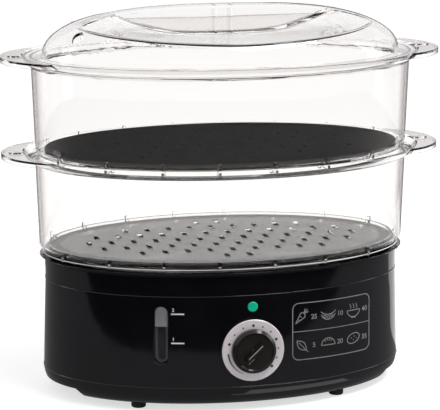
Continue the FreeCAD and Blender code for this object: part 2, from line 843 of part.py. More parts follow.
def timer_body():
    half = 0.5 * timer_width
    box = brick(-half, half, -half, half, 0, timer_depth)
    upright = [e for e in box.Edges if abs(e.BoundBox.ZLength - timer_depth) < 0.1]
    box = box.makeFillet(timer_corner, upright)
    bore_start = timer_depth - shaft_into_timer - 0.3
    box = box.cut(Part.makeCylinder(shaft_radius + shaft_clearance, far, vec(0, 0, bore_start)))
    for side in (-1, 1):
        y = side * timer_screw_offset
        depth = timer_screw_length
        box = box.cut(Part.makeCylinder(timer_screw_radius + 0.1, far, vec(0, y, timer_depth - depth)))
    return facing_front(box, control_x, dial_z, timer_front() + timer_depth)


def timer_bell():
    """The bell dome on the back of the timer."""
    sphere_radius = (bell_radius ** 2 + bell_height ** 2) / (2 * bell_height)
    cap = Part.makeSphere(sphere_radius, vec(0, 0, sphere_radius - bell_height))
    keep = Part.makeCylinder(bell_radius + 1, bell_height, vec(0, 0, -bell_height))
    bell = cap.common(keep)
    return facing_front(bell, control_x, dial_z, timer_front() + timer_depth)


def timer_screws():
    screws = []
    seat = dial_face() + dial_recess + timer_screw_head
    for side in (-1, 1):
        head = Part.makeCylinder(timer_screw_head_radius, timer_screw_head - 0.1)
        reach = timer_front() - seat + timer_screw_length - 0.5
        shank = Part.makeCylinder(timer_screw_radius, reach + 0.5, vec(0, 0, -reach))
        z = dial_z + side * timer_screw_offset
        screws.append(facing_front(merge([head, shank]), control_x, z, seat))
    return Part.makeCompound(screws)


def lamp_wall():
    """Y of the skirt's outer face at the lamp."""
    y, turn = wall_point(skirt_grow_at(lamp_z), control_x, -1)
    return y


def lamp_lens():
    inside = lamp_wall() + base_wall + 0.5
    flange = Part.makeCylinder(lamp_flange_radius, lamp_flange, vec(0, 0, -lamp_flange))
    stem = Part.makeCylinder(lamp_radius, base_wall + 0.5 + lamp_proud)
    front = [e for e in stem.Edges if e.BoundBox.ZMin > base_wall]
    stem = stem.makeFillet(lamp_proud * 0.9, front)
    return facing_front(merge([flange, stem]), control_x, lamp_z, inside)


def lamp_neon():
    back = lamp_wall() + base_wall + 0.5 + lamp_flange
    glass = Part.makeCylinder(neon_radius, neon_length, vec(0, 0, -neon_length))
    return facing_front(glass, control_x, lamp_z, back)


# ---------------------------------------------------------------- water gauge
def gauge_back():
    """Depth behind the skirt's face where the float chamber ends."""
    return base_wall + gauge_flange + chamber_depth


def sight_window():
    plate_width = gauge_width + 2 * gauge_flange_margin
    plate_length = gauge_length + 2 * gauge_flange_margin
    lens = pill(gauge_width, gauge_length, gauge_inset, base_wall + 0.5)
    flange = pill(plate_width, plate_length, base_wall + 0.05, base_wall + gauge_flange)
    return placed(merge([lens, flange]), *gauge_frame())


def float_chamber():
    plate_width = gauge_width + 2 * gauge_flange_margin
    plate_length = gauge_length + 2 * gauge_flange_margin
    front = base_wall + gauge_flange
    shape = pill(plate_width, plate_length, front, gauge_back())
    room = pill(gauge_width - 0.6, gauge_length - 0.6, front - 1, gauge_back() - chamber_back_wall)
    shape = shape.cut(room)
    for end in (-1, 1):
        z = end * (0.5 * gauge_length - port_radius - 2.0)
        shape = shape.cut(Part.makeCylinder(port_radius, 20, vec(0, 0, z), vec(0, 1, 0)))
    return placed(shape, *gauge_frame())


def gauge_seal():
    plate_width = gauge_width + 2 * gauge_flange_margin
    plate_length = gauge_length + 2 * gauge_flange_margin
    shape = pill(plate_width, plate_length, gauge_back(), gauge_back() + chamber_seal)
    for end in (-1, 1):
        z = end * (0.5 * gauge_length - port_radius - 2.0)
        shape = shape.cut(Part.makeCylinder(port_radius, 30, vec(0, 0, z), vec(0, 1, 0)))
    return placed(shape, *gauge_frame())


def level_float():
    """The float, shown at the top of its chamber as with a full tank."""
    front = base_wall + gauge_flange + slip
    shape = pill(float_width, float_length, front, front + float_thickness)
    lift = 0.5 * (gauge_length - 0.6) - 0.5 * float_length - 1.2
    shape.translate(vec(0, 0, lift))
    return placed(shape, *gauge_frame())


# ---------------------------------------------------------------- heater
def heater_seal_ring():
    shape = rod(0, 0, tank_floor_top, tank_floor_top + heater_seal, heater_radius)
    return shape.cut(rod(0, 0, 0, far, heater_hole_radius))


def plate_low():
    return tank_floor_top + heater_seal


def heater_dish():
    """A pressed stainless plate: flat flange and a low raised middle."""
    low = plate_low()
    rise = heater_dome
    inner = heater_hole_radius - 4.0
    points = [
        vec(0, 0, low + rise),
        vec(inner - rise, 0, low + rise),
        vec(inner, 0, low),
        vec(heater_radius, 0, low),
        vec(heater_radius, 0, low + heater_plate),
        vec(inner + 0.5, 0, low + heater_plate),
        vec(inner - rise + 0.5, 0, low + rise + heater_plate),
        vec(0, 0, low + rise + heater_plate),
    ]
    face = Part.Face(Part.makePolygon(points + points[:1]))
    return face.revolve(vec(0, 0, 0), vec(0, 0, 1), 360)


def element_z():
    return plate_low() + heater_dome - element_radius - snug


def heater_element():
    """A sheathed element bent into an open ring under the dish, with its two cold pins turned down."""
    radius = element_mid_radius - element_radius
    z = element_z()
    ring = Part.makeTorus(radius, element_radius, vec(0, 0, z), vec(0, 0, 1))
    half = math.radians(0.5 * element_gap_angle)
    reach = 2 * radius
    wedge = Part.Face(Part.makePolygon([
        vec(0, 0, z - far / 8),
        vec(reach * math.sin(-half), reach * math.cos(half), z - far / 8),
        vec(reach * math.sin(half), reach * math.cos(half), z - far / 8),
        vec(0, 0, z - far / 8),
    ])).extrude(vec(0, 0, far / 4))
    shape = ring.cut(wedge)
    for side in (-1, 1):
        angle = 1.25 * half
        x = side * radius * math.sin(angle)
        y = radius * math.cos(angle)
        shape = shape.fuse(rod(x, y, z - element_radius - element_pin_length, z, element_pin_radius))
    return shape.removeSplitter()


def bridge_top():
    return element_z() - element_radius - snug


def heater_bridge():
    """A folded steel strap that draws the dish down onto its seal from below."""
    top = bridge_top()
    half = 0.5 * bridge_width
    reach = heater_radius + 4.0
    bend = heater_hole_radius - 2.0
    start = bend - bridge_sheet
    shape = brick(-bend, bend, -half, half, top - bridge_sheet, top)
    for side in (-1, 1):
        ear = sorted((side * start, side * reach))
        shape = shape.fuse(brick(*ear, -half, half, tank_low - bridge_sheet, tank_low))
        riser = sorted((side * start, side * bend))
        shape = shape.fuse(brick(*riser, -half, half, top - bridge_sheet, tank_low))
    shape = shape.cut(rod(0, 0, 0, far, thermostat_radius - 2.0))
    return shape.removeSplitter()


def thermostat():
    top = plate_low() + heater_dome
    disc = rod(0, 0, bridge_top() + 1.5, top, thermostat_radius)
    flange = rod(0, 0, bridge_top(), bridge_top() + 2.0, thermostat_flange_radius)
    shape = disc.fuse(flange)
    for side in (-1, 1):
        x = side * 3.0
        shape = shape.fuse(brick(x - 0.5, x + 0.5, -2.0, 2.0, bridge_top() - 8.0, bridge_top() + 0.5))
    return shape.removeSplitter()


def thermal_fuse():
    z = bridge_top() + fuse_radius
    x = thermostat_flange_radius + 2.0
    start = vec(x + fuse_radius, -0.5 * fuse_length, z)
    return Part.makeCylinder(fuse_radius, fuse_length, start, vec(0, 1, 0))


# ---------------------------------------------------------------- electrical parts
def terminal_block():
    low = shelf_low
    a = 0.5 * block_length
    b = 0.5 * block_width
    shape = brick(-a, a, -b, b, low, low + block_height)
    pitch = block_length / block_ways
    for k in range(block_ways):
        x = (k - 0.5 * (block_ways - 1)) * pitch
        shape = shape.cut(rod(x, 0, low + 4, low + block_height + 1, 0.3 * pitch))
        start = vec(x, -block_width, low + 6)
        shape = shape.cut(Part.makeCylinder(0.22 * pitch, 2 * block_width, start, vec(0, 1, 0)))
    shape.translate(vec(block_x, block_y, 0))
    return shape


def cord_gland():
    """A rubber bush in the back of the skirt."""
    start = vec(0, -gland_flange - 0.4, 0)
    flange = Part.makeCylinder(gland_flange_radius, gland_flange, start, vec(0, 1, 0))
    sleeve = Part.makeCylinder(gland_radius, base_wall + 2.0, vec(0, -0.9, 0), vec(0, 1, 0))
    shape = flange.fuse(sleeve)
    shape = shape.cut(Part.makeCylinder(gland_bore_radius, far, vec(0, -far / 2, 0), vec(0, 1, 0)))
    return placed(shape.removeSplitter(), *gland_frame())


# ---------------------------------------------------------------- write the parts
def build():
    parts = {
        "base_housing": base_housing(),
        "bottom_cover": bottom_cover(),
        "base_screws": base_screws(),
        "reservoir": reservoir(),
        "drip_tray": drip_tray(),
        "steam_ring": steam_ring(),
        "lower_basket": basket(lower_seat, lower_spread),
        "lower_basket_floor": basket_floor(lower_seat, lower_spread),
        "upper_basket": basket(upper_seat, upper_spread),
        "upper_basket_floor": basket_floor(upper_seat, upper_spread),
        "lid": lid(),
        "dial_ring": dial_ring(),
        "timer_knob": timer_knob(),
        "timer_shaft": timer_shaft(),
        "timer_body": timer_body(),
        "timer_bell": timer_bell(),
        "timer_screws": timer_screws(),
        "lamp_lens": lamp_lens(),
        "lamp_neon": lamp_neon(),
        "sight_window": sight_window(),
        "float_chamber": float_chamber(),
        "gauge_seal": gauge_seal(),
        "level_float": level_float(),
        "heater_seal": heater_seal_ring(),
        "heater_dish": heater_dish(),
        "heater_element": heater_element(),
        "heater_bridge": heater_bridge(),
        "thermostat": thermostat(),
        "thermal_fuse": thermal_fuse(),
        "terminal_block": terminal_block(),
        "cord_gland": cord_gland(),
    }
    for number, (x, y) in enumerate(foot_places(), 1):
        parts["foot_" + str(number)] = foot(x, y)
    return parts


os.makedirs("parts", exist_ok=True)
for node, shape in build().items():
    shape.exportStep("parts/" + node + ".step")
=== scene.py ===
import math

import bmesh
import bpy
from bpy.props import FloatProperty, FloatVectorProperty, PointerProperty
from mathutils import Matrix, Vector
from mathutils.bvhtree import BVHTree


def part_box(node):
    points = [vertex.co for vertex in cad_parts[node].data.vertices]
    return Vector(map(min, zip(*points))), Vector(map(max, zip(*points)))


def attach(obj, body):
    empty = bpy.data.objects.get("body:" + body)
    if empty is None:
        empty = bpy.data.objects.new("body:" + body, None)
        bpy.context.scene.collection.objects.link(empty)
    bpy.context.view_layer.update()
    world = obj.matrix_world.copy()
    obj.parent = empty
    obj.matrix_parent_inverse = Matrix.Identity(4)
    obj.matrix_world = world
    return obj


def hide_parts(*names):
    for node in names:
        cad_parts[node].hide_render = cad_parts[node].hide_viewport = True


bl_info = {
    "name": "Two-Tier Steamer Finish",
    "version": (1, 0, 0),
    "blender": (4, 5, 0),
    "location": "3D View > Sidebar > Steamer",
    "description": "Finishes the clear baskets, glossy base and front controls of a food steamer",
    "category": "Object",
}

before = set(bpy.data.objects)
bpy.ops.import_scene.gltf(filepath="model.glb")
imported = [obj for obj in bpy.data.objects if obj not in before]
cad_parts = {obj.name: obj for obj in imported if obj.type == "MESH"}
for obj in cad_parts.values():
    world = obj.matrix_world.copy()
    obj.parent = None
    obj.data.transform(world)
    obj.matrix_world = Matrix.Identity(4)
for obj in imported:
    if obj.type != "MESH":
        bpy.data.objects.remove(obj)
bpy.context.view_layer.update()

# ---------------- measures, in metres
DIAL_LOW, DIAL_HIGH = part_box("dial_ring")
DIAL_X = 0.5 * (DIAL_LOW.x + DIAL_HIGH.x)
DIAL_Z = 0.5 * (DIAL_LOW.z + DIAL_HIGH.z)

# the skirt: half axes of its full ellipse, and what they change by at its crease and its seam
HALF_LENGTH, HALF_WIDTH = 0.1500, 0.0966
CREASE_Z, SEAM_Z = 0.0200, 0.0926
CREASE_GROW, SEAM_GROW = -0.0046, -0.0068

# beads: the two on the skirt with name, height, change of the half axes and radius, and others
SKIRT_BEADS = (("crease_bead", 0.0200, CREASE_GROW, 0.00050),
               ("seam_bead", 0.0923, SEAM_GROW, 0.00046))
BEAD_SUNK = 0.0001
TRAY_LIP = 0.00035
# the basket foot's light bead is a painted highlight: its inset from the skirt's axes, height and
# radius
FOOT_HIGHLIGHT_IN, FOOT_HIGHLIGHT_Z, FOOT_HIGHLIGHT_RADIUS = 0.0052, 0.1139, 0.0004
KNOB_RIM, KNOB_RIM_DEPTH = 0.0003, 0.0030

# base screws, and the painted shade of their cross recesses
SCREW_HEAD = 0.0040
RECESS_LENGTH, RECESS_WIDTH, RECESS_SUNK = 0.0042, 0.0009, 0.00005

# finger scoops of the lid: the handle's side and the far edge, with heights below the lid's top
SCOOP_STEPS = 24
HANDLE_END, HANDLE_SIDE, HANDLE_DROP, HANDLE_RISE = 0.088, 0.009, 0.0225, 0.0173
SCOOP_TURN = math.radians(78.0)
SCOOP_LENGTH, SCOOP_WIDTH, SCOOP_DROP, SCOOP_RISE = 0.1185, 0.083, 0.0204, 0.0075
SCOOP_SINK, SCOOP_MISS = Vector((0.0, 0.0, 0.0003)), 0.02
# radii of the painted highlight beads that run along the scoops' edges, beside the handle and along
# the rim
HANDLE_HIGHLIGHT_RADIUS, RIM_HIGHLIGHT_RADIUS = 0.00048, 0.00062

# print on the dial, and painted highlight lines on the knob; dots: name, first place, gap and count
# in steps, whether large
MARK_LIFT = 0.00006
DIAL_DOTS = (("dial_dots_left", -4.4, 1.1, 4, False), ("dial_dots_right", 0.0, 1.0, 7, False),
             ("dial_dots_large", -3.3, 3.3, 2, True), ("dial_dots_quarter", 3.0, 3.0, 2, True))
WEDGE_START, WEDGE_TURN, WEDGE_STEPS = -158.0, 60.0, 12
WEDGE_WIDTH, WEDGE_TIP = 0.0013, 0.0002
KNOB_OFF = math.radians(133.0)      # the knob's off position, counter-clockwise from the top
# the knob's painted highlight lines: place across it, start, end, width and depth behind the top of
# the grip
KNOB_HIGHLIGHTS = ((0.0010, -0.0080, 0.0070, 0.0008, 0.0), (-0.0039, 0.0042, 0.0100, 0.0006, 0.00554))

# the water gauge: its middle on the skirt, and depths behind the skirt's face
GAUGE_X, GAUGE_Z = -0.0660, 0.0612
FLOAT_HALF, FLOAT_LOW, FLOAT_HIGH, FLOAT_BEVEL = 0.0049, 0.0066, 0.0226, 0.0005
FLOAT_DEPTHS = (0.0044, 0.0080)
FLOAT_CORNER = 0.0008
STEP_OUTER, STEP_INNER, STEP_HALF = 0.0051, 0.0031, 0.0225
STEP_DEPTHS = (0.0082, 0.0090)
LEVELS = ((0.0790, "2"), (0.0560, "1"))
LEVEL_GAP, LEVEL_LENGTH, LEVEL_WIDTH = 0.0068, 0.0098, 0.0011
LEVEL_TEXT, LEVEL_TEXT_X, LEVEL_TEXT_Z = 0.0026, 0.0016, 0.0030

# print on the skirt; the chart's columns hold a picture and a number each
PRINT_PROUD, PEN_STEP, CHART_CORNER = 0.00013, 0.0012, 0.0050
CHART_TEXT, CHART_TEXT_DROP = 0.0038, 0.0005
CHART_COLUMNS, PICTURE_X, PICTURE_TO_TEXT = 3, 0.33, 0.46

# the stage
FLOOR_REACH, FLOOR_Z = 9.0, -0.0001
CAMERA_PLACE = (-0.3688, -1.6794, 0.5137)
CAMERA_DOWN, CAMERA_TURN = 0.2113, -0.2153
SENSOR_WIDTH = 36.0

MERGE = 1e-7                        # points nearer than this are one
EVEN = (1.0, 1.0, 1.0)              # a grain that is the same along each axis
INK_POLISH = (0.45, 0.60)
DRIFT_SCALE, POLISH_SCALE, WAVE_SCALE = 28.0, 65.0, 26.0
SKIN_DEPTH, DRAWN_DEPTH, WAVE_DEPTH, SPUN_DEPTH = 0.0004, 0.0002, 0.0006, 0.0001
DIGIT_SIZE, DIGIT_WEIGHT = 1.4, 0.03    # of a digit's height

# settings that several properties share
COLOUR = {"subtype": "COLOR", "size": 3, "min": 0.0, "max": 1.0}
SHARE = {"subtype": "FACTOR", "min": 0.0, "max": 1.0}
LENGTH = {"unit": "LENGTH", "min": 0.0}


# ---------------- what a user would change
class SteamerPlastics(bpy.types.PropertyGroup):
    """Colours and polish of the moulded pieces"""
    clear_colour: FloatVectorProperty(
        name="Clear Tint", description="Colour of the light that passes the baskets and the lid",
        default=(0.970, 0.960, 0.952), **COLOUR)
    # painted shade: the clear plastic turns to these tints where it is seen edge on, standing for
    # the darker look that reflections give its outlines
    clear_edge_shade: FloatVectorProperty(
        name="Clear Edge Shade", description="Tint of the clear plastic where it is seen edge on",
        default=(0.27, 0.23, 0.235), **COLOUR)
    lid_edge_shade: FloatVectorProperty(
        name="Lid Edge Shade", description="Tint of the clear lid where it is seen edge on",
        default=(0.74, 0.70, 0.70), **COLOUR)
    clear_roughness: FloatProperty(
        name="Clear Roughness", description="Haze of the clear plastic", default=0.015, **SHARE)
    black_colour: FloatVectorProperty(
        name="Black", description="Colour of the glossy black housing",
        default=(0.0045, 0.0045, 0.0060), **COLOUR)
    black_roughness: FloatProperty(
        name="Black Roughness", description="Polish of the housing", default=0.07, **SHARE)
    tray_floor_colour: FloatVectorProperty(
        name="Upper Floor", description="Colour of the upper basket's loose floor",
        default=(0.006, 0.005, 0.005), **COLOUR)


class SteamerControls(bpy.types.PropertyGroup):
    """The dial's marks and the colours of the controls"""
    dial_colour: FloatVectorProperty(
        name="Dial", description="Colour of the spun dial ring",
        default=(0.90, 0.84, 0.875), **COLOUR)
    mark_colour: FloatVectorProperty(
        name="Dial Marks", description="Ink of the marks on the dial ring",
        default=(0.03, 0.03, 0.03), **COLOUR)
    mark_radius: FloatProperty(
        name="Mark Circle", description="Radius of the circle the dial marks stand on",
        default=0.0199, **LENGTH)
    dot_radius: FloatProperty(
        name="Dot Radius", description="Radius of a small dial dot", default=0.00066, **LENGTH)
    quarter_radius: FloatProperty(
        name="Quarter Radius", description="Radius of a large dial dot", default=0.00108, **LENGTH)
    dot_step: FloatProperty(
        name="Dot Step", description="Angle from one dot to the next",
        default=math.radians(22.0), subtype="ANGLE")
    lamp_colour: FloatVectorProperty(
        name="Lamp", description="Colour of the pilot lamp's lens",
        default=(0.005, 0.36, 0.21), **COLOUR)


class SteamerPrint(bpy.types.PropertyGroup):
    """The print on the housing"""
    print_colour: FloatVectorProperty(
        name="Print", description="Ink of the chart on the housing",
        default=(0.215, 0.21, 0.215), **COLOUR)
    tick_colour: FloatVectorProperty(
        name="Level Marks", description="Ink of the water level marks",
        default=(0.75, 0.74, 0.75), **COLOUR)
    line_width: FloatProperty(
        name="Frame Line", description="Width of the chart's frame line", default=0.00075, **LENGTH)
    pen_width: FloatProperty(
        name="Pen", description="Width of the lines of the small pictures",
        default=0.00075, **LENGTH)
    picture_scale: FloatProperty(
        name="Picture Scale", description="Scale of the small pictures in the chart",
        default=0.84, min=0.1)
    chart_left: FloatProperty(
        name="Chart Left", description="Left edge of the chart", default=0.0371, unit="LENGTH")
    chart_low: FloatProperty(
        name="Chart Foot", description="Lower edge of the chart at its left side",
        default=0.0378, unit="LENGTH")
    chart_length: FloatProperty(
        name="Chart Length", description="Length of the chart along X",
        default=0.0692, unit="LENGTH")
    chart_height: FloatProperty(
        name="Chart Height", description="Height of the chart", default=0.0452, unit="LENGTH")
    chart_fall: FloatProperty(
        name="Chart Fall", description="How far the chart's right side stands lower",
        default=0.0013, unit="LENGTH")


class SteamerStage(bpy.types.PropertyGroup):
    """The floor, the light and the lens"""
    floor_colour: FloatVectorProperty(
        name="Floor", description="Colour of the studio floor",
        default=(0.62, 0.62, 0.62), **COLOUR)
    floor_fill: FloatProperty(
        name="Floor Fill", description="What the floor adds of its own as a background",
        default=0.64, **SHARE)
    sky_level: FloatProperty(
        name="Sky", description="Light from all round", default=0.55, min=0.0, max=4.0)
    key_power: FloatProperty(
        name="Key", description="Power of the large lamp above",
        default=22.0, min=0.0, unit="POWER")
    side_power: FloatProperty(
        name="Sides", description="Power of the strip lamps", default=3.0, min=0.0, unit="POWER")
    lens: FloatProperty(
        name="Lens", description="Focal length in millimetres", default=179.0, min=1.0)


# ---------------- nodes
def add_node(tree, kind, inputs=None, out=0, **settings):
    """Adds a node with its settings, links or sets its inputs, and returns one output."""
    node = tree.nodes.new(kind)
    for name, value in settings.items():
        setattr(node, name, value)
    for key, value in (inputs or {}).items():
        for source in value if isinstance(value, list) else [value]:
            if isinstance(source, bpy.types.NodeSocket):
                tree.links.new(source, node.inputs[key])
            else:
                node.inputs[key].default_value = source
    return node.outputs[out]


def calculate(tree, operation, *values):
    """Adds a maths node on numbers or outputs of other nodes."""
    return add_node(tree, "ShaderNodeMath", dict(enumerate(values)), operation=operation)


def new_object(name, data):
    """An object in the scene, with its data."""
    item = bpy.data.objects.new(name, data)
    bpy.context.scene.collection.objects.link(item)
    return item


# ---------------- finishes
def new_finish(name):
    """A material and its Principled shader, ready for sockets to be set."""
    material = bpy.data.materials.new(name)
    material.use_nodes = True
    return material, material.node_tree.nodes["Principled BSDF"]


def put(shader, **values):
    """Sets sockets of a shader, named with underscores for spaces."""
    for name, value in values.items():
        socket = shader.inputs[name.replace("_", " ")]
        three = socket.type == "RGBA" and len(value) == 3
        socket.default_value = (*value, 1.0) if three else value


def grain(shader, scale, detail=3.0, stretch=EVEN):
    """A noise in object coordinates."""
    tree = shader.id_data
    place = add_node(tree, "ShaderNodeTexCoord", out="Object")
    turn = add_node(tree, "ShaderNodeMapping", {"Vector": place, "Scale": stretch})
    return add_node(tree, "ShaderNodeTexNoise", {
        "Vector": turn, "Scale": scale, "Detail": detail}, out="Fac")


def roughen(shader, value, low, high):
    """Varies the roughness over a range by a 0 to 1 pattern."""
    tree = shader.id_data
    level = add_node(tree, "ShaderNodeMapRange", {
        "Value": value, "From Min": 0.3, "From Max": 0.7, "To Min": low, "To Max": high})
    tree.links.new(level, shader.inputs["Roughness"])


def emboss(shader, value, strength, distance):
    """Raises a pattern a little out of the surface."""
    tree = shader.id_data
    bump = add_node(tree, "ShaderNodeBump", {
        "Height": value, "Strength": strength, "Distance": distance})
    tree.links.new(bump, shader.inputs["Normal"])


def tint(shader, value, first, last, span=(0.35, 0.65)):
    """Runs the base colour from one colour to another over a span of a pattern."""
    tree = shader.id_data
    ramp = tree.nodes.new("ShaderNodeValToRGB")
    for element, position, colour in zip(ramp.color_ramp.elements, span, (first, last)):
        element.position = position
        element.color = (*colour, 1.0)
    tree.links.new(value, ramp.inputs["Fac"])
    tree.links.new(ramp.outputs["Color"], shader.inputs["Base Color"])


def shade(colour, factor):
    """A colour made darker or lighter."""
    return tuple(min(1.0, channel * factor) for channel in colour)


def moulded(name, colour, polish, skin=0.0, skin_scale=900.0, specular=0.5):
    """Moulded plastic or rubber: uneven polish, a little colour drift and a fine skin."""
    material, shader = new_finish(name)
    put(shader, Specular_IOR_Level=specular)
    drift = grain(shader, DRIFT_SCALE, 2.0)
    tint(shader, drift, shade(colour, 0.85), shade(colour, 1.18))
    roughen(shader, grain(shader, POLISH_SCALE, 4.0), *polish)
    if skin:
        emboss(shader, grain(shader, skin_scale, 4.0), skin, SKIN_DEPTH)
    return material


def metal(name, colour, polish, stretch=EVEN, scale=300.0):
    """Bare metal with a drawn or rolled grain."""
    material, shader = new_finish(name)
    put(shader, Metallic=1.0)
    lines = grain(shader, scale, 3.0, stretch)
    tint(shader, lines, shade(colour, 0.88), shade(colour, 1.06))
    roughen(shader, lines, *polish)
    emboss(shader, lines, 0.08, DRAWN_DEPTH)
    return material


def clear_finish(name, colour, edge, roughness, haze_scale=40.0, span=(0.66, 0.90),
                 wave=0.0, ior=1.30):
    """Clear moulded plastic: nearly colourless face on, with painted shade that turns it greyer
    where it is seen edge on.
    """
    material, shader = new_finish(name)
    put(shader, Transmission_Weight=1.0, IOR=ior, Specular_IOR_Level=0.5)
    # painted shade: the base colour runs from the clear tint to the edge tint as the surface turns
    # edge on
    facing = add_node(shader.id_data, "ShaderNodeLayerWeight", {"Blend": 0.5}, out="Facing")
    tint(shader, facing, colour, edge, span)
    haze = grain(shader, haze_scale, 2.0)
    roughen(shader, haze, 0.4 * roughness, 1.6 * roughness)
    if wave:
        emboss(shader, grain(shader, WAVE_SCALE, 1.0), wave, WAVE_DEPTH)
    return material


def dial_finish(colour):
    """Spun silver: fine rings about the dial's own centre."""
    material, shader = new_finish("spun silver")
    put(shader, Metallic=0.30)
    tree = shader.id_data
    place = add_node(tree, "ShaderNodeTexCoord", out="Object")
    centre = add_node(tree, "ShaderNodeMapping", {
        "Vector": place, "Location": (-DIAL_X, -DIAL_LOW.y, -DIAL_Z)})
    rings = add_node(tree, "ShaderNodeTexWave", {
        "Vector": centre, "Scale": 620.0, "Distortion": 0.6, "Detail": 2.0},
        out="Fac", wave_type="RINGS", rings_direction="Y")
    tint(shader, rings, shade(colour, 0.93), shade(colour, 1.05))
    roughen(shader, grain(shader, 240.0), 0.30, 0.42)
    emboss(shader, rings, 0.10, SPUN_DEPTH)
    return material


def lamp_finish(colour):
    """Green lens that is a little lit from behind."""
    material, shader = new_finish("lamp green")
    put(shader, Transmission_Weight=0.25, IOR=1.49, Emission_Strength=0.40, Emission_Color=colour)
    drift = grain(shader, 160.0, 2.0)
    tint(shader, drift, shade(colour, 0.85), shade(colour, 1.2))
    roughen(shader, drift, 0.05, 0.12)
    return material


def card_finish(name, colour, level):
    """A matt card that gives off an even light of its own."""
    material, shader = new_finish(name)
    put(shader, Roughness=1.0, Specular_IOR_Level=0.0, Base_Color=(0.0, 0.0, 0.0),
        Emission_Color=colour, Emission_Strength=level)
    return material


def dress(material, *nodes):
    """Puts a finish on CAD nodes."""
    for name in nodes:
        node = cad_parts[name]
        if not node.material_slots:
            node.data.materials.append(material)
        for slot in node.material_slots:
            slot.material = material


# ---------------- flat drawings and pieces
def skirt_axes(z, proud=0.0):
    """Half axes of the skirt at a height, with a little to stand proud of it."""
    share = (z - CREASE_Z) / (SEAM_Z - CREASE_Z)
    grow = CREASE_GROW + (SEAM_GROW - CREASE_GROW) * share
    return HALF_LENGTH + grow + proud, HALF_WIDTH + grow + proud


def front_of(x, a, b):
    """Y of the front of an ellipse with half axes a and b."""
    return -b * math.sqrt(1.0 - (x / a) ** 2)


def resample(points, gap, closed):
    """Points of a line no further apart than gap."""
    ends = points + points[:1] if closed else points
    out = []
    for (x0, y0), (x1, y1) in zip(ends, ends[1:]):
        steps = max(1, math.ceil(math.hypot(x1 - x0, y1 - y0) / gap))
        for k in range(steps):
            out.append((x0 + (x1 - x0) * k / steps, y0 + (y1 - y0) * k / steps))
    if not closed:
        out.append(points[-1])
    return out


def pen_line(mesh, points, width, closed=False, taper=None):
    """Adds a flat ribbon along a line; its width may grow from taper to width."""
    line = resample(points, PEN_STEP, closed)
    count = len(line)
    sides = []
    for k, (x, y) in enumerate(line):
        before = line[k - 1] if (k or closed) else line[k]
        after = line[(k + 1) % count] if (k < count - 1 or closed) else line[k]
        dx, dy = after[0] - before[0], after[1] - before[1]
        length = math.hypot(dx, dy) or 1.0
        half = 0.5 * width
        if taper is not None:
            half = 0.5 * (taper + (width - taper) * k / (count - 1))
        left = mesh.verts.new((x - dy / length * half, y + dx / length * half, 0.0))
        right = mesh.verts.new((x + dy / length * half, y - dx / length * half, 0.0))
        sides.append((left, right))
    for (l0, r0), (l1, r1) in zip(sides, sides[1:] + (sides[:1] if closed else [])):
        mesh.faces.new((r0, r1, l1, l0))


def arc(cx, cy, rx, ry, start, end, count=16, lean=0.0):
    """Points of an elliptical arc, in degrees, turned by lean."""
    c, s = math.cos(math.radians(lean)), math.sin(math.radians(lean))
    points = []
    for k in range(count + 1):
        t = math.radians(start + (end - start) * k / count)
        x, y = rx * math.cos(t), ry * math.sin(t)
        points.append((cx + x * c - y * s, cy + x * s + y * c))
    return points


def round_box(length, height, radius):
    """Outline of a box with round corners, its lower left corner at the origin."""
    right, top = length - radius, height - radius
    points = []
    for cx, cy, start in ((right, top, 0), (radius, top, 90),
                          (radius, radius, 180), (right, radius, 270)):
        points += arc(cx, cy, radius, radius, start, start + 90, 6)
    return points


def add_number(mesh, text, height, x, y):
    """Adds the outline of a number, filled, centred on a point."""
    curve = bpy.data.curves.new("number", "FONT")
    curve.body = text
    curve.size = height * DIGIT_SIZE
    curve.align_x = curve.align_y = "CENTER"
    curve.offset = height * DIGIT_WEIGHT
    holder = new_object("number", curve)
    depsgraph = bpy.context.evaluated_depsgraph_get()
    flat = bpy.data.meshes.new_from_object(holder.evaluated_get(depsgraph))
    flat.transform(Matrix.Translation((x, y, 0.0)))
    mesh.from_mesh(flat)
    bpy.data.objects.remove(holder)
    bpy.data.curves.remove(curve)
    bpy.data.meshes.remove(flat)


def lay_on_skirt(mesh, name, material):
    """Wraps a flat drawing, with its Y for height, onto the skirt."""
    for vert in mesh.verts:
        x, z = vert.co.x, vert.co.y
        vert.co = Vector((x, front_of(x, *skirt_axes(z, PRINT_PROUD)), z))
    return finish_piece(mesh, name, material)


def lay_on_dial(verts, y, turn=0.0):
    """Stands a flat drawing up before the dial's centre, turned about it."""
    spin = Matrix.Rotation(turn, 3, "Z")
    for vert in verts:
        flat = spin @ vert.co
        vert.co = Vector((DIAL_X + flat.x, y, DIAL_Z + flat.y))


def finish_piece(mesh, name, material, body="base"):
    """Makes an object of a mesh, on its body and with its slot."""
    data = bpy.data.meshes.new(name)
    bmesh.ops.remove_doubles(mesh, verts=mesh.verts, dist=MERGE)
    mesh.to_mesh(data)
    mesh.free()
    data.materials.append(material)
    piece = new_object(name, data)
    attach(piece, body)
    return piece


# ---------------- pieces grown by node trees
def new_tree(name, inputs):
    """An empty tree with named inputs, and the sockets that carry them."""
    tree = bpy.data.node_groups.new(name, "GeometryNodeTree")
    tree.interface.new_socket("Geometry", in_out="OUTPUT", socket_type="NodeSocketGeometry")
    for label, kind in inputs.items():
        tree.interface.new_socket(label, in_out="INPUT", socket_type="NodeSocket" + kind)
    return tree, tree.nodes.new("NodeGroupInput").outputs


def end_tree(tree, geometry, material):
    """Ends a tree in real faces that carry their material."""
    real = add_node(tree, "GeometryNodeRealizeInstances", {"Geometry": geometry})
    done = add_node(tree, "GeometryNodeSetMaterial", {"Geometry": real, "Material": material})
    tree.links.new(done, tree.nodes.new("NodeGroupOutput").inputs["Geometry"])
    return tree


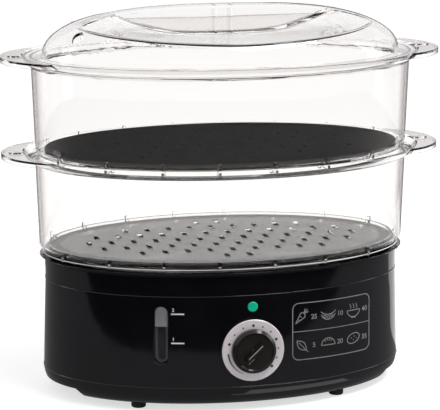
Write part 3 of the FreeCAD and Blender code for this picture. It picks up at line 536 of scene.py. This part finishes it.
def put_on_points(tree, points, shape, turn):
    """Puts a shape on each point, turned about X by an angle in degrees."""
    return add_node(tree, "GeometryNodeInstanceOnPoints", {
        "Points": points, "Instance": shape, "Rotation": (math.radians(turn), 0.0, 0.0)})


def sweep_bead(tree, path, radius, sides, caps=False):
    """Runs a round section along a curve."""
    section = add_node(tree, "GeometryNodeCurvePrimitiveCircle", {
        "Resolution": sides, "Radius": radius})
    return add_node(tree, "GeometryNodeCurveToMesh", {
        "Curve": path, "Profile Curve": section, "Fill Caps": caps})


def marks_tree():
    """Dots at equal angle steps on a circle in the XZ plane, facing the front."""
    tree, given = new_tree("Dial Marks", {
        "Count": "Int", "First Angle": "Float", "Step Angle": "Float", "Circle Radius": "Float",
        "Dot Radius": "Float", "Centre": "Vector", "Mark Finish": "Material"})
    line = add_node(tree, "GeometryNodeMeshLine", {"Count": given["Count"]})
    index = add_node(tree, "GeometryNodeInputIndex")
    angle = calculate(tree, "MULTIPLY_ADD", index, given["Step Angle"], given["First Angle"])
    across, up = (calculate(tree, "MULTIPLY", calculate(tree, turn, angle), given["Circle Radius"])
                  for turn in ("SINE", "COSINE"))
    flat = add_node(tree, "ShaderNodeCombineXYZ", {"X": across, "Z": up})
    place = add_node(tree, "ShaderNodeVectorMath", {0: flat, 1: given["Centre"]}, operation="ADD")
    points = add_node(tree, "GeometryNodeSetPosition", {"Geometry": line, "Position": place})
    dot = add_node(tree, "GeometryNodeMeshCircle", {
        "Vertices": 14, "Radius": given["Dot Radius"]}, fill_type="NGON")
    return end_tree(tree, put_on_points(tree, points, dot, 90.0), given["Mark Finish"])


def recess_shade_tree():
    """A flat dark cross under each of the base screws: painted shade standing for a cross recess.
    """
    tree, given = new_tree("Screw Recess Shade", {
        "Spacing X": "Float", "Spacing Y": "Float", "Level": "Float",
        "Slot Length": "Float", "Slot Width": "Float", "Mark Finish": "Material"})
    screws, *bars = (
        add_node(tree, "GeometryNodeMeshGrid", {
            "Size X": given[along], "Size Y": given[across], "Vertices X": 2, "Vertices Y": 2})
        for along, across in (("Spacing X", "Spacing Y"), ("Slot Length", "Slot Width"),
                              ("Slot Width", "Slot Length")))
    height = add_node(tree, "ShaderNodeCombineXYZ", {"Z": given["Level"]})
    points = add_node(tree, "GeometryNodeTransform", {"Geometry": screws, "Translation": height})
    cross = add_node(tree, "GeometryNodeJoinGeometry", {"Geometry": bars})
    return end_tree(tree, put_on_points(tree, points, cross, 180.0), given["Mark Finish"])


def bead_tree():
    """A round bead that runs along an ellipse."""
    tree, given = new_tree("Bead", {
        "Half Length": "Float", "Half Width": "Float", "Centre": "Vector", "Lean": "Vector",
        "Bead Radius": "Float", "Finish": "Material"})
    ring = add_node(tree, "GeometryNodeCurvePrimitiveCircle", {"Resolution": 240, "Radius": 1.0})
    reach = add_node(tree, "ShaderNodeCombineXYZ", {
        "X": given["Half Length"], "Y": given["Half Width"], "Z": 1.0})
    oval = add_node(tree, "GeometryNodeTransform", {"Geometry": ring, "Scale": reach})
    path = add_node(tree, "GeometryNodeTransform", {
        "Geometry": oval, "Translation": given["Centre"], "Rotation": given["Lean"]})
    bead = sweep_bead(tree, path, given["Bead Radius"], 10)
    smooth = add_node(tree, "GeometryNodeSetShadeSmooth", {"Geometry": bead})
    return end_tree(tree, smooth, given["Finish"])


def highlight_bead_tree():
    """A round bead that runs along the edges of the mesh it is given."""
    tree, given = new_tree("Edge Highlight Bead", {
        "Path": "Geometry", "Bead Radius": "Float", "Finish": "Material"})
    path = add_node(tree, "GeometryNodeMeshToCurve", {"Mesh": given["Path"]})
    bead = sweep_bead(tree, path, given["Bead Radius"], 8, caps=True)
    return end_tree(tree, bead, given["Finish"])


def grow_from(tree, name, values, body, path=()):
    """Runs a tree on an open line, or on nothing, and keeps the result as a plain mesh."""
    line = bpy.data.meshes.new(name)
    line.from_pydata(path, [(k, k + 1) for k in range(len(path) - 1)], [])
    seed = new_object(name, line)
    modifier = seed.modifiers.new(name, "NODES")
    modifier.node_group = tree
    for item in tree.interface.items_tree:
        if item.in_out == "INPUT" and item.name in values:
            modifier[item.identifier] = values[item.name]
    depsgraph = bpy.context.evaluated_depsgraph_get()
    result = bpy.data.meshes.new_from_object(seed.evaluated_get(depsgraph))
    seed.modifiers.remove(modifier)
    if not result.polygons:
        raise RuntimeError(name + " came out empty")
    seed.data = result
    result.name = name
    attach(seed, body)
    return seed


def add_bead(name, half_length, half_width, centre, radius, finish,
             body="base", lean=0.0):
    """Lays a bead round the object on an ellipse."""
    return grow_from(bead_tree(), name, {
        "Half Length": half_length,
        "Half Width": half_width,
        "Centre": centre,
        "Lean": (lean, 0.0, 0.0),
        "Bead Radius": radius,
        "Finish": finish,
    }, body)


def scoop_edges(side):
    """Two lines of a finger scoop: beside the handle, and where its floor meets the dome."""
    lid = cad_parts["lid"].data
    surface = BVHTree.FromPolygons([vert.co for vert in lid.vertices],
                                   [face.vertices for face in lid.polygons])
    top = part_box("lid")[1].z
    near, far = [], []
    for k in range(-SCOOP_STEPS, SCOOP_STEPS + 1):
        share = k / SCOOP_STEPS
        turn = SCOOP_TURN * share
        start = Vector((HANDLE_END * share, HANDLE_SIDE * side,
                        top - HANDLE_DROP + HANDLE_RISE * abs(share) ** 3))
        end = Vector((SCOOP_LENGTH * math.sin(turn), SCOOP_WIDTH * math.cos(turn) * side,
                      top - SCOOP_DROP + SCOOP_RISE * abs(share) ** 1.4))
        near.append(start + SCOOP_SINK)
        way = end - start
        edge = surface.ray_cast(start + 0.6 * way - SCOOP_SINK, way.normalized())[0]
        if edge and (edge - end).length < SCOOP_MISS:
            far.append(edge - 0.6 * SCOOP_SINK)
    if len(far) < SCOOP_STEPS:
        raise RuntimeError("the scoop's edge wasn't found")
    return near, far


# ---------------- shapes in the water gauge
def gauge_place():
    """The gauge's own frame on the skirt: X across it, Y inwards, Z up."""
    a, b = skirt_axes(GAUGE_Z)
    y = front_of(GAUGE_X, a, b)
    turn = math.atan2(y / b ** 2, GAUGE_X / a ** 2) + 0.5 * math.pi
    return Matrix.Translation((GAUGE_X, y, GAUGE_Z)) @ Matrix.Rotation(turn, 4, "Z")


def join_loops(mesh, loops):
    """Skins loops of equal length, one after the other."""
    for first, second in zip(loops, loops[1:]):
        count = len(first)
        for k in range(count):
            follow = (k + 1) % count
            mesh.faces.new((first[k], second[k], second[follow], first[follow]))


def add_float(material):
    """The float: round at the top, square at the foot, with a bevel at both faces."""
    side, foot = FLOAT_HALF - FLOAT_CORNER, FLOAT_LOW + FLOAT_CORNER
    outline = arc(0.0, FLOAT_HIGH - FLOAT_HALF, FLOAT_HALF, FLOAT_HALF, 0, 180, 20)
    outline += arc(-side, foot, FLOAT_CORNER, FLOAT_CORNER, 180, 270, 5)
    outline += arc(side, foot, FLOAT_CORNER, FLOAT_CORNER, 270, 360, 5)
    front, back = FLOAT_DEPTHS
    bevel, slant = FLOAT_BEVEL, 0.29 * FLOAT_BEVEL      # slant: half way round the bevel
    cx = sum(x for x, z in outline) / len(outline)
    cz = sum(z for x, z in outline) / len(outline)
    reach_x = max(abs(x - cx) for x, z in outline)
    reach_z = max(abs(z - cz) for x, z in outline)
    mesh = bmesh.new()
    loops = []
    for inset, depth in ((bevel, front), (slant, front + slant), (0.0, front + bevel),
                         (0.0, back - bevel), (bevel, back)):
        sx, sz = 1.0 - inset / reach_x, 1.0 - inset / reach_z
        loops.append([mesh.verts.new((cx + (x - cx) * sx, depth, cz + (z - cz) * sz))
                      for x, z in outline])
    join_loops(mesh, loops)
    mesh.faces.new(loops[0])
    mesh.faces.new(list(reversed(loops[-1])))
    return finish_gauge_piece(mesh, "level_float_face", material, "float")


def add_step(material):
    """The pill-shaped ring with square edges that lines the chamber's mouth."""
    front, back = STEP_DEPTHS
    straight = STEP_HALF - STEP_OUTER
    mesh = bmesh.new()
    loops = []
    for radius, depth in ((STEP_OUTER, front), (STEP_OUTER, back), (STEP_INNER, back),
                          (STEP_INNER, front), (STEP_OUTER, front)):
        points = arc(0.0, straight, radius, radius, 0, 180, 18)
        points += arc(0.0, -straight, radius, radius, 180, 360, 18)
        loops.append([mesh.verts.new((x, depth, z)) for x, z in points])
    join_loops(mesh, loops)
    return finish_gauge_piece(mesh, "chamber_step", material, "base")


def finish_gauge_piece(mesh, name, material, body):
    """Closes a mesh, turns its faces outwards and stands it in the gauge."""
    bmesh.ops.remove_doubles(mesh, verts=mesh.verts, dist=MERGE)
    bmesh.ops.recalc_face_normals(mesh, faces=mesh.faces)
    bmesh.ops.transform(mesh, matrix=gauge_place(), verts=mesh.verts)
    return finish_piece(mesh, name, material, body)


# ---------------- small pictures for the chart
def carrot(mesh, pen):
    """A root with three leaves and two notches."""
    root = [(-0.0062, -0.0058), (-0.0010, 0.0040), (0.0012, 0.0046), (0.0034, 0.0022),
            (0.0030, -0.0002)]
    pen_line(mesh, root, pen, closed=True)
    for dx, dy in ((0.0010, 0.0042), (0.0034, 0.0038), (0.0044, 0.0014)):
        pen_line(mesh, [(0.0024, 0.0036), (0.0024 + dx, 0.0036 + dy)], pen)
    pen_line(mesh, [(-0.0018, 0.0010), (0.0002, 0.0000)], 0.7 * pen)
    pen_line(mesh, [(-0.0034, -0.0022), (-0.0014, -0.0032)], 0.7 * pen)


def pea_pod(mesh, pen):
    """A bowed pod with three peas."""
    pen_line(mesh, arc(0.0, 0.0030, 0.0078, 0.0078, 200, 340), pen)
    pen_line(mesh, arc(0.0, 0.0062, 0.0086, 0.0062, 208, 332), pen)
    for dx, dy in ((-0.0036, -0.0016), (0.0, -0.0026), (0.0036, -0.0016)):
        pen_line(mesh, arc(dx, dy, 0.0013, 0.0013, 0, 330, 10), 0.8 * pen, closed=True)


def bowl(mesh, pen):
    """A bowl on a foot, with steam above it."""
    pen_line(mesh, arc(0.0, 0.0002, 0.0070, 0.0064, 180, 360), pen, closed=True)
    pen_line(mesh, [(-0.0026, -0.0068), (0.0026, -0.0068)], pen)
    for dx in (-0.0034, 0.0, 0.0034):
        wave = [(dx + 0.0006 * math.sin(0.9 * k), 0.0018 + 0.0008 * k) for k in range(7)]
        pen_line(mesh, wave, 0.8 * pen)


def leaf(mesh, pen):
    """A pointed leaf on a slant, with its rib."""
    half = math.sqrt(0.5)
    sides = []
    for side in (0.0034, -0.0034):
        line = []
        for k in range(15):
            along, off = 0.0068 * (k / 7 - 1), side * math.sin(math.pi * k / 14)
            line.append((half * (along + off), half * (off - along)))
        sides.append(line)
    pen_line(mesh, sides[0] + sides[1][-2:0:-1], pen, closed=True)
    pen_line(mesh, [(-0.0030, 0.0030), (0.0066, -0.0066)], 0.8 * pen)


def dumpling(mesh, pen):
    """A half round with folds along its edge."""
    pen_line(mesh, arc(0.0, -0.0022, 0.0072, 0.0066, 0, 180), pen, closed=True)
    for angle in (50, 75, 100, 125):
        t = math.radians(angle)
        outer = (0.0070 * math.cos(t), -0.0022 + 0.0064 * math.sin(t))
        inner = (0.0044 * math.cos(t + 0.12), -0.0022 + 0.0040 * math.sin(t + 0.12))
        pen_line(mesh, [outer, inner], 0.8 * pen)


def potato(mesh, pen):
    """A leaning oval with eyes."""
    pen_line(mesh, arc(0.0, 0.0, 0.0070, 0.0046, 0, 345, 22, lean=18), pen, closed=True)
    for x, y in ((-0.0030, 0.0002), (0.0006, 0.0016), (0.0030, -0.0004), (-0.0004, -0.0018)):
        pen_line(mesh, [(x, y), (x + 0.0010, y + 0.0003)], 0.9 * pen)


PICTURES = ((carrot, "25"), (pea_pod, "10"), (bowl, "40"),
            (leaf, "5"), (dumpling, "20"), (potato, "35"))


# ---------------- the stage's pieces
def add_area(name, place, target, size, power):
    """A white oblong lamp that points at a target."""
    light = bpy.data.lights.new(name, "AREA")
    light.shape = "RECTANGLE"
    light.size, light.size_y = size
    light.energy = power
    lamp = new_object(name, light)
    lamp.location = place
    way = Vector(target) - Vector(place)
    lamp.rotation_euler = way.to_track_quat("-Z", "Y").to_euler()


def add_stage_mesh(name, points, faces, materials):
    """An object of the stage, which isn't part of the steamer."""
    data = bpy.data.meshes.new(name)
    data.from_pydata(points, [], faces)
    for material in materials:
        data.materials.append(material)
    sheet = new_object(name, data)
    return sheet


def seen_as_background(tree):
    """1 for camera, glossy and transmission rays, 0 for the others."""
    path = tree.nodes.new("ShaderNodeLightPath").outputs
    both = calculate(tree, "MAXIMUM", path["Is Camera Ray"], path["Is Glossy Ray"])
    return calculate(tree, "MAXIMUM", both, path["Is Transmission Ray"])


def lay_floor(stage):
    """A matt floor that keeps shadows and is pale as a background."""
    material, shader = new_finish("studio floor")
    put(shader, Roughness=0.9, Specular_IOR_Level=0.0, Base_Color=stage.floor_colour)
    tree = material.node_tree
    level = calculate(tree, "MULTIPLY", seen_as_background(tree), stage.floor_fill)
    glow = add_node(tree, "ShaderNodeEmission", {"Strength": level})
    both = add_node(tree, "ShaderNodeAddShader", {0: shader.outputs[0], 1: glow})
    tree.links.new(both, tree.nodes["Material Output"].inputs["Surface"])
    reach = FLOOR_REACH
    corners = [(-reach, -reach), (reach, -reach), (reach, reach), (-reach, reach)]
    add_stage_mesh(
        "studio_floor", [(x, y, FLOOR_Z) for x, y in corners], [(0, 1, 2, 3)], [material])


def light_world(scene, sky_level):
    """An even sky, white as a background."""
    world = bpy.data.worlds.new("studio")
    scene.world = world
    world.use_nodes = True
    tree = world.node_tree
    back = tree.nodes["Background"]
    back.inputs["Color"].default_value = (1.0, 1.0, 1.0, 1.0)
    strength = add_node(tree, "ShaderNodeMapRange", {
        "Value": seen_as_background(tree), "To Min": sky_level, "To Max": 1.0})
    tree.links.new(strength, back.inputs["Strength"])


def stand_camera(scene, lens):
    """The camera before the steamer's left front, looking a little down."""
    camera = bpy.data.cameras.new("camera")
    camera.lens = lens
    camera.sensor_width = SENSOR_WIDTH
    camera.clip_start, camera.clip_end = 0.05, 60.0
    eye = new_object("camera", camera)
    eye.location = CAMERA_PLACE
    eye.rotation_euler = (0.5 * math.pi - CAMERA_DOWN, 0.0, CAMERA_TURN)
    scene.camera = eye


def dark_flags():
    """Flags and cards round the table, seen only in polished surfaces."""
    black, side_grey, grey, white = range(4)
    finishes = [card_finish("black flag", (1.0, 1.0, 1.0), 0.004),
                card_finish("side flag", (1.0, 0.80, 0.80), 0.15),
                card_finish("grey card", (1.0, 0.97, 1.0), 0.27),
                card_finish("white card", (1.0, 0.98, 1.0), 1.3)]
    reach, height, side, front, back = 1.7, 0.45, 0.65, -0.305, 0.42
    table, left_front = 0.0004, -0.13
    near = [(-side, left_front), (-0.518, -0.161), (-0.419, -0.180), (-0.340, -0.201),
            (-0.254, -0.231), (-0.116, front), (side, front)]
    far = [(side, 0.24), (0.377, 0.125), (0.281, 0.060), (-0.10, 0.060), (-0.16, back),
           (-side, back)]
    before = [(reach, front), (reach, -reach), (-reach, -reach)]
    flat = [
        (black, [(-reach, left_front)] + near + before),
        (side_grey, [(-reach, left_front), (-side, left_front), (-side, back), (-reach, back)]),
        (side_grey, [(side, front), (reach, front), (reach, back), (side, back)]),
        (side_grey, [(-reach, back), (reach, back), (reach, reach), (-reach, reach)]),
        (grey, near + far),
    ]
    cards = [(kind, [(x, y, table) for x, y in corners]) for kind, corners in flat]
    walls = [(-reach, -reach), (reach, -reach), (reach, reach), (-reach, reach)]
    kinds = (black, side_grey, side_grey, side_grey)
    for kind, (x0, y0), (x1, y1) in zip(kinds, walls, walls[1:] + walls[:1]):
        cards.append((kind, [
            (x0, y0, table), (x1, y1, table), (x1, y1, height), (x0, y0, height)]))
    cards.append((white, foot_crescent(2 * table)))
    points, faces = [], []
    for kind, corners in cards:
        faces.append(range(len(points), len(points) + len(corners)))
        points += corners
    flags = add_stage_mesh("dark_flags", points, faces, finishes)
    for face, (kind, corners) in zip(flags.data.polygons, cards):
        face.material_index = kind
    for ray in ("camera", "diffuse", "transmission", "shadow"):
        setattr(flags, "visible_" + ray, False)


def foot_crescent(z):
    """Corners of a thin crescent on the table along the foot of the skirt."""
    inner, outer = [], []
    for row, swell in ((inner, 0.0), (outer, 0.026)):
        for k in range(15):
            turn = math.radians(-94.0 + 3.6 * k)
            gap = 0.003 + swell * math.sin(math.pi * k / 14)
            row.append(((HALF_LENGTH + gap) * math.cos(turn),
                        (HALF_WIDTH + gap) * math.sin(turn), z))
    return inner + outer[::-1]


# ---------------- operators
class STEAMER_OT_stage(bpy.types.Operator):
    """Set up the floor, the soft lamps, the pale surroundings and the camera"""
    bl_idname = "steamer.stage"
    bl_label = "Stage"

    def execute(self, context):
        scene = context.scene
        stage = scene.steamer_stage
        scene.view_settings.view_transform = "Standard"
        lay_floor(stage)
        dark_flags()
        light_world(scene, stage.sky_level)
        low, side = (0.0, 0.0, 0.12), stage.side_power
        add_area("key", (0.8, -0.85, 1.9), (0.0, 0.0, 0.1), (1.3, 0.35), stage.key_power)
        add_area("left strip", (-1.3, 0.35, 0.55), low, (0.25, 1.1), side)
        add_area("right strip", (1.3, -0.10, 0.55), low, (0.25, 1.1), side)
        stand_camera(scene, stage.lens)
        return {"FINISHED"}


class STEAMER_OT_base(bpy.types.Operator):
    """Finish the glossy black housing, the tank, the tray and what stands under them"""
    bl_idname = "steamer.base"
    bl_label = "Base and Tank"

    def execute(self, context):
        plastics = context.scene.steamer_plastics
        low = plastics.black_roughness
        gloss = moulded("housing black", plastics.black_colour, (low, 1.5 * low), 0.012, 60.0)
        dress(gloss, "base_housing", "reservoir", "drip_tray")
        dress(moulded("moulded black", (0.018, 0.018, 0.019), (0.42, 0.60), 0.25, 1400.0),
              "bottom_cover", "steam_ring", "timer_body", "thermostat")
        dress(moulded("foot rubber", (0.014, 0.014, 0.014), (0.62, 0.80), 0.35, specular=0.35),
              "foot_1", "foot_2", "foot_3", "foot_4", "cord_gland", "gauge_seal", "heater_seal")
        dress(metal("zinc screw", (0.52, 0.52, 0.54), (0.28, 0.42)),
              "base_screws", "timer_screws")
        for name, z, change, radius in SKIRT_BEADS:
            grow = change - BEAD_SUNK
            add_bead(name, HALF_LENGTH + grow, HALF_WIDTH + grow, (0.0, 0.0, z), radius, gloss)
        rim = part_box("drip_tray")[1]
        add_bead("tray_lip", rim.x - TRAY_LIP, rim.y - TRAY_LIP, (0.0, 0.0, rim.z - TRAY_LIP),
                 TRAY_LIP, gloss, "tray")
        # a flat dark cross on each screw head is painted shade for its cross recess
        near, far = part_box("base_screws")
        grow_from(recess_shade_tree(), "screw_recess_shade", {
            "Spacing X": far.x - near.x - 2 * SCREW_HEAD,
            "Spacing Y": far.y - near.y - 2 * SCREW_HEAD,
            "Level": near.z - RECESS_SUNK,
            "Slot Length": RECESS_LENGTH,
            "Slot Width": RECESS_WIDTH,
            "Mark Finish": moulded("recess shade", (0.02, 0.02, 0.02), (0.6, 0.8)),
        }, "base")
        return {"FINISHED"}


class STEAMER_OT_baskets(bpy.types.Operator):
    """Finish the clear baskets, the domed lid and the loose floors"""
    bl_idname = "steamer.baskets"
    bl_label = "Baskets and Lid"

    def execute(self, context):
        plastics = context.scene.steamer_plastics
        tone, haze = plastics.clear_colour, plastics.clear_roughness
        # the edge tints of the clear walls and the dome are painted shade where they are seen edge
        # on
        dress(clear_finish("clear wall", tone, plastics.clear_edge_shade, haze,
                           span=(0.62, 0.84), wave=0.04, ior=1.34),
              "lower_basket", "upper_basket", "lower_basket_floor")
        dress(clear_finish("clear dome", tone, plastics.lid_edge_shade, 2.0 * haze), "lid")
        dress(moulded("dark floor", plastics.tray_floor_colour, (0.55, 0.70), 0.05, 500.0, 0.0),
              "upper_basket_floor")
        # painted highlights: light grey beads along the basket's foot and along the lid's finger
        # scoops stand for light caught on those clear edges
        edge = moulded("painted edge highlight", (0.86, 0.84, 0.85), (0.16, 0.26))
        rim_highlight = moulded("painted grey edge highlight", (0.60, 0.57, 0.57), (0.20, 0.30))
        add_bead("basket_foot_highlight", HALF_LENGTH - FOOT_HIGHLIGHT_IN, HALF_WIDTH - FOOT_HIGHLIGHT_IN,
                 (0.0, 0.0, FOOT_HIGHLIGHT_Z), FOOT_HIGHLIGHT_RADIUS, edge, "tier_1")
        # painted highlights: white beads beside the handle, grey beads where each scoop's floor
        # meets the dome
        highlight_beads = highlight_bead_tree()
        for side, label in ((-1, "front"), (1, "rear")):
            near, far = scoop_edges(side)
            for place, path, finish, radius in (("handle", near, edge, HANDLE_HIGHLIGHT_RADIUS),
                                                ("rim", far, rim_highlight, RIM_HIGHLIGHT_RADIUS)):
                grow_from(highlight_beads, "scoop_" + place + "_" + label,
                          {"Bead Radius": radius, "Finish": finish},
                          "cover", path)
        return {"FINISHED"}


class STEAMER_OT_timer(bpy.types.Operator):
    """Finish the knob, the spun dial ring and the clockwork behind them"""
    bl_idname = "steamer.timer"
    bl_label = "Timer"

    def execute(self, context):
        controls = context.scene.steamer_controls
        dress(dial_finish(controls.dial_colour), "dial_ring")
        dress(metal("turned steel", (0.50, 0.49, 0.48), (0.22, 0.34), (1.0, 12.0, 1.0)),
              "timer_shaft", "timer_bell")
        black = moulded("knob black", (0.012, 0.011, 0.010), (0.12, 0.20), 0.03, 300.0, 0.3)
        dress(black, "timer_knob")
        low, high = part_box("timer_knob")
        rim = 0.5 * (high.x - low.x) - KNOB_RIM
        add_bead("knob_rim", rim, rim, (DIAL_X, high.y - KNOB_RIM_DEPTH, DIAL_Z), KNOB_RIM,
                 black, "timer_control", lean=math.radians(90.0))
        self.mark_dial(controls)
        self.highlight_knob(low.y - MARK_LIFT)
        return {"FINISHED"}

    def mark_dial(self, controls):
        """Prints dots and a tapered wedge round the knob."""
        ink = moulded("dial ink", controls.mark_colour, INK_POLISH)
        face = DIAL_LOW.y - MARK_LIFT
        circle, step = controls.mark_radius, controls.dot_step
        tree = marks_tree()
        for name, first, gap, count, large in DIAL_DOTS:
            grow_from(tree, name, {
                "Count": count,
                "First Angle": first * step,
                "Step Angle": gap * step,
                "Circle Radius": circle,
                "Dot Radius": controls.quarter_radius if large else controls.dot_radius,
                "Centre": (DIAL_X, face, DIAL_Z),
                "Mark Finish": ink,
            }, "base")
        points = []
        for k in range(WEDGE_STEPS + 1):
            turn = math.radians(WEDGE_START + WEDGE_TURN * k / WEDGE_STEPS)
            points.append((circle * math.sin(turn), circle * math.cos(turn)))
        mesh = bmesh.new()
        pen_line(mesh, points, WEDGE_WIDTH, taper=WEDGE_TIP)
        lay_on_dial(mesh.verts, face)
        finish_piece(mesh, "dial_scale", ink)

    def highlight_knob(self, grip):
        """Paints a light grey line on the knob's grip and one on its face beside the grip's end:
        painted highlights for the light on the grip's top edge and on the edge of the raised mark
        there.
        """
        mesh = bmesh.new()
        for x, start, end, width, depth in KNOB_HIGHLIGHTS:
            drawn = len(mesh.verts)
            pen_line(mesh, [(x, start), (x, end)], width)
            lay_on_dial(list(mesh.verts)[drawn:], grip + depth, KNOB_OFF)
        # painted highlight: light grey standing for light caught on the black knob's edges
        highlight_grey = moulded("painted highlight grey", (0.30, 0.29, 0.28), (0.30, 0.42))
        finish_piece(mesh, "knob_highlights", highlight_grey, "timer_control")


class STEAMER_OT_lamp(bpy.types.Operator):
    """Finish the green pilot lamp and the neon behind it"""
    bl_idname = "steamer.lamp"
    bl_label = "Pilot Lamp"

    def execute(self, context):
        dress(lamp_finish(context.scene.steamer_controls.lamp_colour), "lamp_lens")
        # its second colour is painted shade where the neon glass is seen edge on
        dress(clear_finish("neon glass", (0.92, 0.86, 0.80), (0.5, 0.45, 0.4), 0.03, 200.0),
              "lamp_neon")
        return {"FINISHED"}


class STEAMER_OT_gauge(bpy.types.Operator):
    """Finish the water level window, its chamber and the float, and print the level marks"""
    bl_idname = "steamer.gauge"
    bl_label = "Water Gauge"

    def execute(self, context):
        # its second colour is painted shade where the window is seen edge on
        dress(clear_finish("window plastic", (0.80, 0.80, 0.83), (0.45, 0.45, 0.46), 0.05,
                           120.0, ior=1.25), "sight_window")
        dress(moulded("chamber black", (0.007, 0.007, 0.010), (0.55, 0.7), 0.08, 600.0, 0.0),
              "float_chamber")
        level_float = add_float(
            moulded("float grey", (0.34, 0.33, 0.33), (0.38, 0.5), 0.08, 600.0, 0.0))
        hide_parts("level_float")
        # the ring in the chamber's mouth is lighter grey than the chamber: painted highlight for
        # the window's edge catching the light
        add_step(moulded("painted chamber step highlight", (0.085, 0.085, 0.105), (0.35, 0.5), 0.08, 600.0, 0.0))
        low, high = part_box("sight_window")
        left = 0.5 * (low.x + high.x) + LEVEL_GAP
        mesh = bmesh.new()
        for z, text in LEVELS:
            pen_line(mesh, [(left, z), (left + LEVEL_LENGTH, z)], LEVEL_WIDTH)
            add_number(mesh, text, LEVEL_TEXT, left + LEVEL_TEXT_X, z + LEVEL_TEXT_Z)
        ink = moulded("level ink", context.scene.steamer_print.tick_colour, INK_POLISH)
        lay_on_skirt(mesh, "level_marks", ink)
        return {"FINISHED"}


class STEAMER_OT_heater(bpy.types.Operator):
    """Finish the boiling plate, its element and the parts under the tank"""
    bl_idname = "steamer.heater"
    bl_label = "Heater"

    def execute(self, context):
        dress(metal("pressed stainless", (0.60, 0.59, 0.58), (0.18, 0.30), scale=140.0),
              "heater_dish")
        dress(metal("sheath metal", (0.30, 0.29, 0.28), (0.40, 0.58)),
              "heater_element", "thermal_fuse")
        dress(metal("strap steel", (0.46, 0.46, 0.47), (0.30, 0.45), (1.0, 14.0, 1.0)),
              "heater_bridge")
        dress(moulded("terminal nylon", (0.62, 0.61, 0.57), (0.40, 0.55), 0.10, 800.0),
              "terminal_block")
        return {"FINISHED"}


class STEAMER_OT_chart(bpy.types.Operator):
    """Print the framed chart of small pictures and numbers on the housing"""
    bl_idname = "steamer.chart"
    bl_label = "Chart"

    def execute(self, context):
        prints = context.scene.steamer_print
        length, height, scale = prints.chart_length, prints.chart_height, prints.picture_scale
        middle = 0.5 * height
        mesh = bmesh.new()
        pen_line(mesh, round_box(length, height, CHART_CORNER), prints.line_width, closed=True)
        pen_line(mesh, [(0.0, middle), (length, middle)], 0.8 * prints.line_width)
        for place, (picture, text) in enumerate(PICTURES):
            row, column = divmod(place, CHART_COLUMNS)
            x = length * (column + PICTURE_X) / CHART_COLUMNS
            y = middle * (1.5 - row)
            drawn = len(mesh.verts)
            picture(mesh, prints.pen_width / scale)
            verts = list(mesh.verts)[drawn:]
            bmesh.ops.scale(mesh, vec=(scale, scale, scale), verts=verts)
            bmesh.ops.translate(mesh, vec=(x, y, 0.0), verts=verts)
            beside = x + PICTURE_TO_TEXT * length / CHART_COLUMNS
            add_number(mesh, text, CHART_TEXT, beside, y - CHART_TEXT_DROP)
        for vert in mesh.verts:
            fall = prints.chart_fall * vert.co.x / length
            vert.co.x = prints.chart_left + vert.co.x
            vert.co.y = prints.chart_low + vert.co.y - fall
        lay_on_skirt(mesh, "chart", moulded("chart ink", prints.print_colour, INK_POLISH))
        return {"FINISHED"}


# ---------------- panel and registering
class STEAMER_PT_panel(bpy.types.Panel):
    """Lists the steamer's pieces in the sidebar"""
    bl_idname = "STEAMER_PT_panel"
    bl_label = "Food Steamer"
    bl_space_type = "VIEW_3D"
    bl_region_type = "UI"
    bl_category = "Steamer"

    def draw(self, context):
        for operator in PIECES:
            self.layout.operator(operator.bl_idname)


GROUPS = {
    "steamer_plastics": SteamerPlastics,
    "steamer_controls": SteamerControls,
    "steamer_print": SteamerPrint,
    "steamer_stage": SteamerStage,
}
PIECES = (
    STEAMER_OT_stage,
    STEAMER_OT_base,
    STEAMER_OT_baskets,
    STEAMER_OT_timer,
    STEAMER_OT_lamp,
    STEAMER_OT_gauge,
    STEAMER_OT_heater,
    STEAMER_OT_chart,
)


def register():
    for group in GROUPS.values():
        bpy.utils.register_class(group)
    for name, group in GROUPS.items():
        setattr(bpy.types.Scene, name, PointerProperty(type=group))
    for operator in PIECES:
        bpy.utils.register_class(operator)
    bpy.utils.register_class(STEAMER_PT_panel)


def unregister():
    bpy.utils.unregister_class(STEAMER_PT_panel)
    for operator in reversed(PIECES):
        bpy.utils.unregister_class(operator)
    for name in GROUPS:
        delattr(bpy.types.Scene, name)
    for group in reversed(GROUPS.values()):
        bpy.utils.unregister_class(group)


def main():
    """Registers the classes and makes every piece."""
    register()
    bpy.ops.steamer.stage()
    bpy.ops.steamer.base()
    bpy.ops.steamer.baskets()
    bpy.ops.steamer.timer()
    bpy.ops.steamer.lamp()
    bpy.ops.steamer.gauge()
    bpy.ops.steamer.heater()
    bpy.ops.steamer.chart()


if __name__ == "__main__":
    main()
